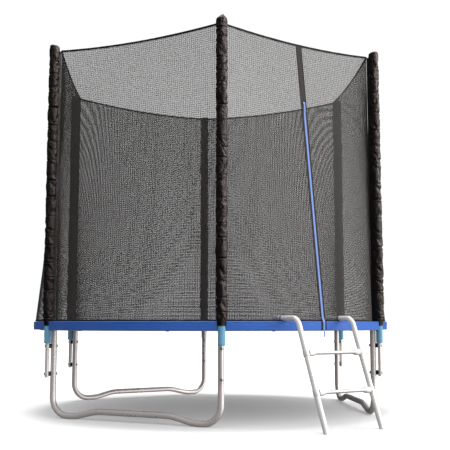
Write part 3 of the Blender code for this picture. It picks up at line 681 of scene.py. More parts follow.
class TRAMPOLINE_OT_stage(Builder, bpy.types.Operator):
    """Add the floor, lights, backdrop light and camera"""
    bl_idname = "trampoline.add_stage"
    bl_label = "Stage"

    def build(self, scene):
        look = scene.trampoline_stage
        floor = bmesh.new()
        bmesh.ops.create_grid(floor, x_segments=8, y_segments=8, size=160.0)
        mesh = bpy.data.meshes.new("studio_floor")
        floor.to_mesh(mesh)
        floor.free()
        item = add_piece("studio_floor", mesh, None, [finish("studio_floor", studio_floor, look.floor)])
        item.location.z = FLOOR_Z
        item.visible_diffuse = False
        item.visible_glossy = False
        self.add_lights(scene, look, item)
        self.add_camera(scene)
        self.add_surround(scene)

    def add_lights(self, scene, look, floor):
        top = bpy.data.lights.new("top_light", "SUN")
        top.energy = look.top_light
        top.angle = math.radians(26)
        item = bpy.data.objects.new("top_light", top)
        item.rotation_euler = Vector((0.12, 0.20, 1.0)).to_track_quat("Z", "Y").to_euler()
        scene.collection.objects.link(item)

        side = bpy.data.lights.new("side_light", "SUN")
        side.energy = look.side_light
        side.angle = math.radians(40)
        side.color = (1.0, 0.975, 0.955)
        item = bpy.data.objects.new("side_light", side)
        item.rotation_euler = Vector((0.72, -0.62, 0.52)).to_track_quat("Z", "Y").to_euler()
        scene.collection.objects.link(item)
        unlit = bpy.data.collections.new("side_light_leaves_out")
        unlit.objects.link(floor)
        unlit.collection_objects[0].light_linking.link_state = "EXCLUDE"
        item.light_linking.receiver_collection = unlit

    def add_camera(self, scene):
        camera = bpy.data.cameras.new("camera")
        camera.lens = 66.3
        camera.sensor_width = 36.0
        camera.clip_end = 500.0
        item = bpy.data.objects.new("camera", camera)
        item.location = (-3.277, -5.084, 0.594 + FLOOR_Z)
        rise = math.radians(6.81)
        heading = Vector((0.5558 * math.cos(rise), 0.8313 * math.cos(rise), math.sin(rise)))
        item.rotation_mode = "QUATERNION"
        item.rotation_quaternion = heading.to_track_quat("-Z", "Y")
        scene.collection.objects.link(item)
        scene.camera = item
        scene.view_settings.view_transform = "Standard"

    def add_surround(self, scene):
        """White surround, a soft sky for the light on the object and another one for its gloss."""
        world = bpy.data.worlds.new("surround")
        scene.world = world
        world.use_nodes = True
        tree = world.node_tree
        tree.nodes.clear()
        place = tree.nodes.new("ShaderNodeTexCoord")
        rise = tree.nodes.new("ShaderNodeSeparateXYZ")
        tree.links.new(place.outputs["Generated"], rise.inputs[0])
        height = tree.nodes.new("ShaderNodeMapRange")
        height.inputs["From Min"].default_value = -1.0
        tree.links.new(rise.outputs["Z"], height.inputs["Value"])

        def sky(stops, towards, edge, full, strength):
            """Background whose grey goes by height, with a brighter side."""
            ramp = tree.nodes.new("ShaderNodeValToRGB")
            tree.links.new(height.outputs["Result"], ramp.inputs[0])
            marks = ramp.color_ramp.elements
            marks[0].position, marks[1].position = stops[0][0], stops[-1][0]
            for position, _ in stops[1:-1]:
                marks.new(position)
            for mark, (_, level) in zip(marks, stops):
                mark.color = (level, level, level, 1)
            glow = tree.nodes.new("ShaderNodeVectorMath")
            glow.operation = "DOT_PRODUCT"
            glow.inputs[1].default_value = Vector(towards).normalized()
            tree.links.new(place.outputs["Generated"], glow.inputs[0])
            patch = tree.nodes.new("ShaderNodeMapRange")
            patch.interpolation_type = "SMOOTHSTEP"
            patch.inputs["From Min"].default_value = edge
            patch.inputs["From Max"].default_value = full
            patch.inputs["To Max"].default_value = strength
            tree.links.new(glow.outputs["Value"], patch.inputs["Value"])
            both = tree.nodes.new("ShaderNodeVectorMath")
            tree.links.new(ramp.outputs["Color"], both.inputs[0])
            tree.links.new(patch.outputs["Result"], both.inputs[1])
            return background(both.outputs["Vector"])

        def background(colour=None):
            node = tree.nodes.new("ShaderNodeBackground")
            if colour:
                tree.links.new(colour, node.inputs["Color"])
            else:
                node.inputs["Color"].default_value = (1.02, 1.02, 1.02, 1.0)
            return node.outputs[0]

        def choose(test, first, second):
            node = tree.nodes.new("ShaderNodeMixShader")
            for socket, value in zip(node.inputs, (test, first, second)):
                tree.links.new(value, socket)
            return node.outputs[0]

        soft = sky([(0.0, 0.16), (0.45, 0.22), (0.52, 0.42), (1.0, 0.85)], (0.28, -0.96, 0.30), -0.1, 0.8, 0.75)
        gloss = sky([(0.0, 0.06), (0.42, 0.03), (0.52, 0.03), (0.75, 0.12), (1.0, 0.5)], (0.60, -0.80, 0.25),
                    0.50, 0.92, 1.7)
        path = tree.nodes.new("ShaderNodeLightPath")
        lit = choose(path.outputs["Is Glossy Ray"], soft, gloss)
        out = tree.nodes.new("ShaderNodeOutputWorld")
        tree.links.new(choose(path.outputs["Is Camera Ray"], lit, background()), out.inputs[0])


class TRAMPOLINE_OT_rails(Builder, bpy.types.Operator):
    """Add the six curved rails of the ring, with their swaged joints and welded leg stubs"""
    bl_idname = "trampoline.add_rails"
    bl_label = "Ring rails"

    def build(self, scene):
        look = scene.trampoline_frame
        steel = finish("galvanised_steel", tube_steel, look.steel)
        centre = Vector((0.0, 0.0, RING_Z))
        start = Vector((RING_RADIUS, 0.0, RING_Z))
        shape = Shape()
        body = arc(centre, Matrix.Rotation(-HALF_SECTOR + 0.0036, 3, "Z") @ start, (0, 0, 1),
                   2 * HALF_SECTOR - 0.0036, 40)
        swage = arc(centre, Matrix.Rotation(HALF_SECTOR + 0.0028, 3, "Z") @ start, (0, 0, 1), 0.037, 4)
        path = np.concatenate([body, swage])
        radius = np.array([TUBE_RADIUS] * len(body) + [TUBE_RADIUS - 0.0019] * len(swage))
        shape.pipe(path, radius, 0.0015, look.sides)
        root = RING_Z - TUBE_RADIUS
        stub = TUBE_RADIUS - 0.0022
        profile = [(stub - 0.0015, root - 0.055), (stub, root - 0.055), (stub, root + 0.004),
                   (stub - 0.0015, root + 0.004)]
        shape.lathe(profile, look.sides, Matrix.Translation((RING_RADIUS, 0, 0)), closed=True)
        turns = np.linspace(0, 2 * math.pi, 48, endpoint=False)
        reach = TUBE_RADIUS + 0.0006
        bead = np.stack([RING_RADIUS + reach * np.cos(turns), reach * np.sin(turns),
                         np.full(48, root - 0.0002)], -1)
        bead[:, 2] += 0.0012 * np.abs(np.cos(turns)) + 0.0003 * np.sin(9 * turns)
        shape.tube(bead, 0.0017, 8, closed=True)
        mesh = shape.mesh("rail")
        add_round("ring_rail", mesh, [steel], "rail_segment")


class TRAMPOLINE_OT_legs(Builder, bpy.types.Operator):
    """Add the three bent W legs, each on its two low points"""
    bl_idname = "trampoline.add_legs"
    bl_label = "W legs"

    def build(self, scene):
        look = scene.trampoline_frame
        steel = finish("galvanised_steel", tube_steel, look.steel)
        low = FLOOR_Z + TUBE_RADIUS
        corner = 0.115
        half_span = RING_RADIUS * math.sin(HALF_SECTOR)
        upright = spaced(np.array([(0.0, 0.0, LEG_TOP_Z - 0.001), (0.0, 0.0, low + corner)]), 0.03)[:-1]
        bend = arc((0, corner, low + corner), (0, 0, low + corner), (1, 0, 0), math.pi / 2, 16)
        along = np.linspace(0.144, half_span, 36)
        rise = 0.036 * ease_cosine((along - 0.144) / 0.228)
        run = np.stack([np.zeros(36), along, low + rise], -1)
        half = np.concatenate([upright, bend, run])
        half[:, 1] -= half_span
        half[:, 0] = LEG_PLANE
        other = half[::-1][1:] * np.array([1, -1, 1])
        shape = Shape().pipe(np.concatenate([half, other]), TUBE_RADIUS, 0.0015, look.sides)
        mesh = shape.mesh("leg")
        add_round("bent_leg", mesh, [steel], "w_leg", LEG_TURNS)


class TRAMPOLINE_OT_poles(Builder, bpy.types.Operator):
    """Add the two tubes and the top cap of each net pole"""
    bl_idname = "trampoline.add_poles"
    bl_label = "Net poles"

    def build(self, scene):
        look = scene.trampoline_frame
        steel = finish("galvanised_steel", tube_steel, look.steel)
        plastic = finish("black_plastic", moulded_plastic, look.plastic)
        place = Matrix.Translation((POLE_CIRCLE, 0, 0))
        edge = 0.0006
        full = POLE_RADIUS
        bore = full - 0.0012
        spigot = bore - 0.0004
        lower = [(bore, POLE_JOINT_Z - 0.006), (bore, POLE_FOOT_Z), (full - edge, POLE_FOOT_Z),
                 (full, POLE_FOOT_Z + edge), (full, POLE_JOINT_Z - 0.0045), (spigot, POLE_JOINT_Z - 0.001),
                 (spigot, POLE_JOINT_Z + 0.055), (spigot - 0.0012, POLE_JOINT_Z + 0.055),
                 (spigot - 0.0012, POLE_JOINT_Z - 0.002)]
        upper = [(bore, POLE_TOP_Z), (bore, POLE_JOINT_Z), (full - edge, POLE_JOINT_Z),
                 (full, POLE_JOINT_Z + edge), (full, POLE_TOP_Z - edge), (full - edge, POLE_TOP_Z)]
        plug = [(bore - 0.0006, POLE_TOP_Z - 0.012), (bore - 0.0003, POLE_TOP_Z + 0.0002),
                (full + 0.0004, POLE_TOP_Z + 0.0003), (full + 0.0006, POLE_TOP_Z + 0.0020),
                (full - 0.002, POLE_TOP_Z + 0.0046), (0.004, POLE_TOP_Z + 0.0058)]
        for part, profile in (("lower", lower), ("upper", upper)):
            mesh = Shape().lathe(profile, look.sides, place, closed=True).mesh(f"pole_tube_{part}")
            add_round(f"pole_tube_{part}", mesh, [steel], f"pole_{part}")
        add_round("pole_cap", Shape().lathe(plug, look.sides, place).mesh("pole_cap"), [plastic])


class TRAMPOLINE_OT_bolts(Builder, bpy.types.Operator):
    """Add the carriage bolts, nuts, washers and saddle blocks between legs and poles"""
    bl_idname = "trampoline.add_bolts"
    bl_label = "Pole bolts"

    def build(self, scene):
        look = scene.trampoline_frame
        zinc = finish("zinc_plate", zinc_plate, ZINC)
        plastic = finish("black_plastic", moulded_plastic, look.plastic)
        for place, z in BOLT_HEIGHTS.items():
            add_round(f"carriage_bolt_{place}", self.bolt(z).mesh(f"bolt_{place}"), [zinc],
                      f"pole_bolt_{place}")
            add_round(f"saddle_block_{place}", self.saddle(z).mesh(f"saddle_{place}"), [plastic])

    def bolt(self, z):
        """Bolt along the radial line, with its head outside the pole and its nut inside the leg."""
        lay = Matrix.Translation((0, 0, z)) @ Matrix.Rotation(math.pi / 2, 4, "Y")
        head = POLE_CIRCLE + POLE_RADIUS + 0.0002
        nut = RING_RADIUS - TUBE_RADIUS - 0.0004
        shape = Shape()
        dome = [(0.004, nut - 0.007)] + [(0.004, head - 0.004), (0.0092, head), (0.0093, head + 0.0008)]
        dome += [(0.0093 * math.cos(turn), head + 0.0008 + 0.0042 * math.sin(turn))
                 for turn in np.linspace(0.2, 1.35, 7)]
        shape.lathe(dome, 24, lay)
        shape.lathe([(0.0044, nut - 0.0012), (0.0098, nut - 0.0012), (0.0098, nut), (0.0044, nut)], 24, lay,
                    closed=True)
        hexagon = [(0.0040, nut - 0.0068), (0.0068, nut - 0.0068), (0.0078, nut - 0.0060), (0.0078, nut - 0.0022),
                   (0.0068, nut - 0.0014), (0.0040, nut - 0.0014)]
        shape.lathe(hexagon, 6, lay, closed=True)
        return shape

    def saddle(self, z):
        """Block whose two faces are hollowed to sit on the leg and on the pole."""
        turns = np.linspace(0, 2 * math.pi, 40, endpoint=False)
        cos, sin = np.cos(turns), np.sin(turns)
        y = 0.0105 * np.sign(cos) * np.abs(cos) ** 0.6
        dz = 0.0148 * np.sign(sin) * np.abs(sin) ** 0.6
        rows = []
        for share, swell in ((0.0, 0.90), (0.06, 1.0), (0.5, 0.97), (0.94, 1.0), (1.0, 0.90)):
            width = y * swell
            inner = RING_RADIUS + np.sqrt(np.maximum((TUBE_RADIUS + 0.0003) ** 2 - width ** 2, 0.0))
            outer = POLE_CIRCLE - np.sqrt(np.maximum((POLE_RADIUS + 0.0003) ** 2 - width ** 2, 0.0))
            rows.append(np.stack([inner + (outer - inner) * share, width, z + dz * swell], -1))
        return Shape().grid(np.array(rows), around=True, caps=True)


class TRAMPOLINE_OT_foam(Builder, bpy.types.Operator):
    """Add the light blue foam sleeves on the net poles"""
    bl_idname = "trampoline.add_foam"
    bl_label = "Foam sleeves"

    def build(self, scene):
        foam = finish("light_blue_foam", foam_skin, scene.trampoline_sleeve.foam)
        for number, turn in enumerate(POLE_TURNS, start=1):
            bore = POLE_RADIUS + 0.0005
            outer = FOAM_RADIUS
            levels = np.concatenate([np.linspace(FOAM_LOW_Z + 0.004, FOAM_LOW_Z + 0.24, 26),
                                     np.linspace(FOAM_LOW_Z + 0.28, FOAM_TOP_Z - 0.004, 40)])
            profile = [(bore, FOAM_TOP_Z), (bore, FOAM_LOW_Z), (outer - 0.004, FOAM_LOW_Z),
                       (outer - 0.0012, FOAM_LOW_Z + 0.0010)]
            profile += [(outer, z) for z in levels]
            profile += [(outer - 0.0012, FOAM_TOP_Z - 0.001), (outer - 0.004, FOAM_TOP_Z)]
            rows = lathe_rows(profile, 36)
            wobble = 0.0005 * rumple(rows + number, 0.035, 40 + number)
            wobble[np.array(profile)[:, 0] < outer] = 0.0
            rows[..., :2] *= (1 + wobble / outer)[..., None]
            rows = rows + np.array([POLE_CIRCLE, 0, 0])
            shape = Shape().grid(rows, around=True, along=True)
            item = add_piece(f"foam_tube_{number}", shape, "frame", [foam],
                             [f"foam_sleeve_{number}"], turn)


class TRAMPOLINE_OT_pockets(Builder, bpy.types.Operator):
    """Add the crumpled fabric pockets over the foam, with the seams that the net hangs from"""
    bl_idname = "trampoline.add_pockets"
    bl_label = "Fabric pockets"

    def build(self, scene):
        look = scene.trampoline_sleeve
        fabric = finish("black_fabric", satin_fabric, look.fabric)
        sewing = finish("black_thread", thread, THREAD_BLACK)
        self.settled = self.crumple(POCKET_RADIUS - 0.0005, POCKET_TIP_Z - 0.030 - POCKET_LOW_Z)
        for number, turn in enumerate(POLE_TURNS, start=1):
            outer = self.fabric_rows(number, look.fold_depth)
            axis = np.array([POLE_CIRCLE, 0.0, 0.0])
            inner = outer - unit((outer - axis) * np.array([1, 1, 0])) * 0.0008
            inner[-6:, :, 2] -= 0.0008
            shape = Shape().grid(np.concatenate([outer, inner[::-1]]), around=True, along=True)
            self.add_seam(shape, number)
            item = add_piece(f"fabric_pocket_{number}", shape, "frame", [fabric, sewing],
                             [f"net_pocket_{number}"], turn, sharp=60)

    def crumple(self, radius, height):
        """Radii of a loose cloth sleeve settled round the foam."""
        columns, courses = 44, 260
        generator = np.random.default_rng(3)
        z = np.linspace(0.0, height, courses)
        start = lathe_rows(np.stack([np.full(courses, radius), z], -1), columns)
        start[..., :2] *= 1 + 0.012 * generator.standard_normal((courses, columns, 1))
        held = [0, courses - 1]
        place = 0.05
        while place < height - 0.04:
            held.append(int(place / height * courses))
            start[held[-1], :, :2] *= 0.90 + 0.05 * np.cos(np.linspace(0, 2 * math.pi, columns) + place * 40)[:, None]
            start[held[-1], :, 2] += 0.006 * np.cos(np.linspace(0, 2 * math.pi, columns) + place * 90)
            place += generator.uniform(0.075, 0.150)
        scene = bpy.context.scene
        sleeve = bpy.data.objects.new("loose_sleeve", Shape().grid(start, around=True).mesh("loose_sleeve"))
        rod = lathe_rows([(FOAM_RADIUS + 0.0010, level) for level in np.linspace(-0.05, height + 0.05, 40)], 32)
        core = bpy.data.objects.new("core", Shape().grid(rod, around=True, caps=True).mesh("core"))
        for item in (sleeve, core):
            scene.collection.objects.link(item)
        core.modifiers.new("Collision", "COLLISION")
        core.collision.thickness_outer = 0.002
        ties = sleeve.vertex_groups.new(name="ties")
        ties.add([course * columns + column for course in held for column in range(columns)], 1.0, "REPLACE")
        cloth = sleeve.modifiers.new("Cloth", "CLOTH")
        settings = cloth.settings
        settings.quality = 6
        settings.mass = 0.15
        settings.tension_stiffness = 25
        settings.compression_stiffness = 25
        settings.shear_stiffness = 8
        settings.bending_stiffness = 1.2
        settings.vertex_group_mass = "ties"
        settings.shrink_min = -0.05
        settings.use_pressure = True
        settings.uniform_pressure_force = 1.0
        settings.effector_weights.gravity = 0.0
        cloth.collision_settings.distance_min = 0.002
        for step in range(1, 25):
            scene.frame_set(step)
        settled = sleeve.evaluated_get(bpy.context.evaluated_depsgraph_get()).data
        points = np.empty(len(settled.vertices) * 3)
        settled.vertices.foreach_get("co", points)
        points = points.reshape(courses, columns, 3)
        scene.frame_set(1)
        for item in (sleeve, core):
            bpy.data.objects.remove(item)
        return np.hypot(points[..., 0], points[..., 1])

    def fabric_rows(self, number, depth):
        """Rings of the pocket, from its mouth up to its gathered top."""
        columns = 88
        shoulder = POCKET_TIP_Z - 0.030
        z = np.concatenate([np.linspace(POCKET_LOW_Z, POCKET_LOW_Z + 0.09, 26)[:-1],
                            np.linspace(POCKET_LOW_Z + 0.09, shoulder, 420)])
        turns = np.linspace(0, 2 * math.pi, columns, endpoint=False)
        ring = np.stack(np.broadcast_arrays(np.cos(turns)[None] * POCKET_RADIUS,
                                            np.sin(turns)[None] * POCKET_RADIUS, z[:, None]), -1)
        loose = self.settled[:, (np.arange(columns) // 2 + 7 * number) % 44]
        girth = np.convolve(np.pad(self.settled.mean(1), 30, "edge"), np.full(61, 1 / 61), "valid")
        loose = loose - girth[:, None] - 0.0022
        between = (loose + np.roll(loose, -1, 1)) / 2
        at = (z - POCKET_LOW_Z) / (shoulder - POCKET_LOW_Z) * (len(loose) - 1)
        if number % 2:
            at = at[::-1]
        low = np.minimum(at.astype(int), len(loose) - 2)
        share = (at - low)[:, None]
        folds = between[low] * (1 - share) + between[low + 1] * share
        small = rumple(ring, 0.009, 11 * number)
        fold = np.clip(folds * depth, -0.0095, 0.0062) + 0.0006 * small + 0.0008
        taper = ease((z - POCKET_LOW_Z) / 0.058)[:, None]
        calm = ease((z - POCKET_LOW_Z) / 0.020)[:, None]
        reach = FOAM_RADIUS + 0.0012 + (POCKET_RADIUS - 0.0012 - FOAM_RADIUS) * taper
        radius = reach + fold * (0.25 + 0.75 * taper) * calm
        for height, tilt, side in self.cross_creases(number):
            line = z[:, None] - (POCKET_LOW_Z + height) - tilt * np.cos(turns - side)[None]
            held = np.clip(0.35 + np.cos(turns - side), 0.0, 1.0)[None]
            radius -= 0.0045 * held * np.exp(-(line / 0.0035) ** 2)
            radius += 0.0016 * held * np.exp(-((line - 0.012) / 0.010) ** 2)
        radius = np.maximum(radius, FOAM_RADIUS + 0.0008)
        rows = np.stack([POLE_CIRCLE + radius * np.cos(turns), radius * np.sin(turns),
                         np.broadcast_to(z[:, None], radius.shape)], -1)
        lean = {1: (0.004, 0.007), 2: (-0.006, -0.006), 6: (-0.006, 0.004)}.get(number, (-0.005, 0.003))
        apex = np.array([POLE_CIRCLE + lean[0], lean[1], POCKET_TIP_Z - 0.001])
        gathered = []
        steps = [(0.985, 0.40), (0.95, 0.66), (0.84, 0.86), (0.60, 0.95), (0.30, 0.99), (0.05, 1.0)]
        if number == 1:
            steps = [(0.93, 0.12), (0.76, 0.30), (0.56, 0.50), (0.35, 0.68), (0.17, 0.86), (0.04, 1.0)]
        tilt = 0.0 if number == 1 else 0.22
        for share, height in steps:
            ring_top = rows[-1] * share + apex * (1 - share)
            ring_top[:, 2] = shoulder + (POCKET_TIP_Z - 0.001 - tilt * POCKET_RADIUS - shoulder) * height
            ring_top[:, 2] += tilt * (ring_top[:, 0] - POLE_CIRCLE) * height
            ring_top[:, 2] += 0.0015 * np.cos(7 * turns + number) * (1 - share)
            gathered.append(ring_top)
        return np.concatenate([rows, gathered])

    def cross_creases(self, number):
        """Height, tilt and facing side of the creases that run round a pocket."""
        front = math.pi / 3
        known = {1: [(1.715, 0.010, front), (1.31, -0.006, front), (1.04, 0.008, front + 0.7)],
                 2: [(1.10, 0.010, front - 0.9), (1.52, -0.008, front - 0.6), (0.52, 0.007, front)],
                 6: [(1.42, 0.012, front + 0.8), (0.95, -0.009, front + 0.5), (0.42, 0.010, front)]}
        return known.get(number, [(1.25, 0.010, front), (0.66, -0.008, front + 1.0)])

    def add_seam(self, shape, number):
        """Double fabric fin from the pocket in to the net, with its two rows of stitches."""
        z = np.linspace(NET_LOW_Z + 0.002, NET_TOP_Z - 0.002, 120)
        outer = POLE_CIRCLE - POCKET_RADIUS + 0.0050
        inner = SEAM_CIRCLE + 0.0015
        sway = 0.0012 * rumple(np.stack([z, z * 0, z * 0], -1), 0.12, 70 + number)
        rows = []
        for x, half in ((outer, 0.0030), (outer - 0.006, 0.0024), (inner + 0.006, 0.0018), (inner, 0.0013)):
            rows.append((x, half))
        outline = rows + [(x, -half) for x, half in reversed(rows)]
        grid = np.array([[(x, half + offset, height) for x, half in outline] for height, offset in zip(z, sway)])
        shape.grid(grid[:, ::-1], around=True, caps=True)
        for side in (-1, 1):
            for x in (inner + 0.003, inner + 0.0075):
                line = np.stack([np.full(120, x), sway + side * 0.0023, z], -1)
                shape.stitches(line, 0.009, 0.006, 0.0005, mark=1)


class TRAMPOLINE_OT_mat(Builder, bpy.types.Operator):
    """Add the woven mat with its stitched hem, webbing loops and V-rings"""
    bl_idname = "trampoline.add_mat"
    bl_label = "Jumping mat"

    def build(self, scene):
        look = scene.trampoline_mat
        weave = finish("woven_mat", woven_mat, look.weave)
        tape = finish("black_webbing", webbing, TAPE_BLACK)
        sewing = finish("white_thread", thread, THREAD_WHITE)
        zinc = finish("zinc_plate", zinc_plate, ZINC)
        top = -0.0006
        low = -MAT_THICKNESS
        edge = MAT_RADIUS - 0.001
        rings = [0.02, 0.15, 0.3, 0.45, 0.6, 0.75, 0.85, 0.93]
        profile = [(radius * MAT_RADIUS, low + 0.0010) for radius in rings]
        profile += [(edge - 0.046, low + 0.0010), (edge - 0.045, low), (edge - 0.001, low), (edge, low + 0.0008),
                    (edge, top - 0.0004), (edge - 0.001, top + 0.0004), (edge - 0.045, top + 0.0004),
                    (edge - 0.046, top - 0.0005)]
        profile += [(radius * MAT_RADIUS, top - 0.0005) for radius in reversed(rings)]
        mat = add_piece("woven_mat", Shape().lathe(profile, 192), "mat", [weave], ["jumping_mat"])

        hem = Shape()
        turns = np.linspace(0, 2 * math.pi, 721)
        for radius in (edge - 0.041, edge - 0.007, edge - 0.024):
            line = np.stack([radius * np.cos(turns), radius * np.sin(turns), np.full(721, top + 0.0005)], -1)
            hem.stitches(line, 0.012, 0.008, 0.0006)
        add_piece("mat_hem_stitching", hem, "mat", [sewing])

        loops = Shape()
        rings = Shape()
        for index in range(look.count):
            turn = 2 * math.pi * (index + 0.5) / look.count
            path = [(edge - 0.052, 0, top + 0.0014), (edge - 0.020, 0, top + 0.0015), (edge - 0.001, 0, top + 0.0016),
                    (edge + 0.0035, 0, top - 0.0008), (edge - 0.001, 0, low - 0.0012),
                    (edge - 0.040, 0, low - 0.0011)]
            fine = turned(spaced(path, 0.004), turn)
            facing = across_path(spaced(path, 0.004))[0]
            normal = turned(np.stack([-facing[:, 2], facing[:, 1] * 0, facing[:, 0]], -1), turn)
            loops.band(fine, normal, 0.026, 0.0014)
            for y in (-0.0085, 0.0, 0.0085):
                line = turned(np.array([(edge - 0.049, y, top + 0.0023), (edge - 0.012, y, top + 0.0024)]), turn)
                loops.stitches(line, 0.006, 0.004, 0.0005, mark=1)
            rings.tube(turned(self.ring_path(edge), turn), 0.0015, 8, closed=True)
        add_piece("mat_ring_loops", loops, "mat", [tape, sewing])
        add_piece("mat_v_rings", rings, "mat", [zinc])

    def ring_path(self, edge):
        """Rounded triangle of wire: its base lies in the webbing and the spring pulls on its tip."""
        corners = [(edge - 0.0005, -0.0165), (edge - 0.0005, 0.0165), (edge + 0.0160, 0.0)]
        points = []
        for index, corner in enumerate(corners):
            before = np.array(corners[index - 1])
            after = np.array(corners[(index + 1) % 3])
            corner = np.array(corner)
            start = corner + (before - corner) / np.linalg.norm(before - corner) * 0.0045
            end = corner + (after - corner) / np.linalg.norm(after - corner) * 0.0045
            for share in np.linspace(0, 1, 6):
                points.append((1 - share) ** 2 * start + 2 * share * (1 - share) * corner + share ** 2 * end)
        return np.array([(x, y, SPRING_Z + 0.0004) for x, y in points])


class TRAMPOLINE_OT_springs(Builder, bpy.types.Operator):
    """Add the coil springs between the V-rings and the ring rail"""
    bl_idname = "trampoline.add_springs"
    bl_label = "Springs"

    def build(self, scene):
        look = scene.trampoline_mat
        zinc = finish("zinc_plate", zinc_plate, ZINC)
        wire = look.wire / 2
        inner = MAT_RADIUS + 0.0118
        outer = RING_RADIUS - TUBE_RADIUS + 0.001
        coil_start = inner + 0.024
        coil_end = outer - 0.024
        radius = 0.0098 - wire
        turns = int((coil_end - coil_start) / (look.wire * 1.04))
        share = np.linspace(0, 1, turns * 11 + 1)
        angle = 2 * math.pi * turns * share
        coil = np.stack([coil_start + (coil_end - coil_start) * share, radius * np.cos(angle),
                         radius * np.sin(angle)], -1)
        hook_in = self.hook(inner, coil_start, radius, 1)
        hook_out = self.hook(outer, coil_end, radius, -1)
        path = np.concatenate([hook_in, coil, hook_out[::-1]]) + np.array([0, 0, SPRING_Z])
        mesh = Shape().tube(path, wire, 6).mesh("spring")
        for index in range(look.count):
            turn = 2 * math.pi * (index + 0.5) / look.count
            item = add_piece(f"coil_spring_{index + 1}", mesh, None, [zinc],
                             ["springs"] if index == 0 else (), turn, sharp=80)
            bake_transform(item)

    def hook(self, tip, coil, radius, side):
        """Open hook from its tip to the coil's first turn."""
        turns = np.linspace(math.radians(-150), math.radians(95), 12)
        size = 0.0052
        centre = tip + side * (size - 0.0015)
        loop = np.stack([centre - side * size * np.cos(turns), np.zeros(12), size * np.sin(turns)], -1)
        lead = np.array([(centre + side * 0.009, radius * 0.5, size * 0.6),
                         (coil - side * 0.0022, radius * 0.95, 0.001)])
        return np.concatenate([loop, lead])


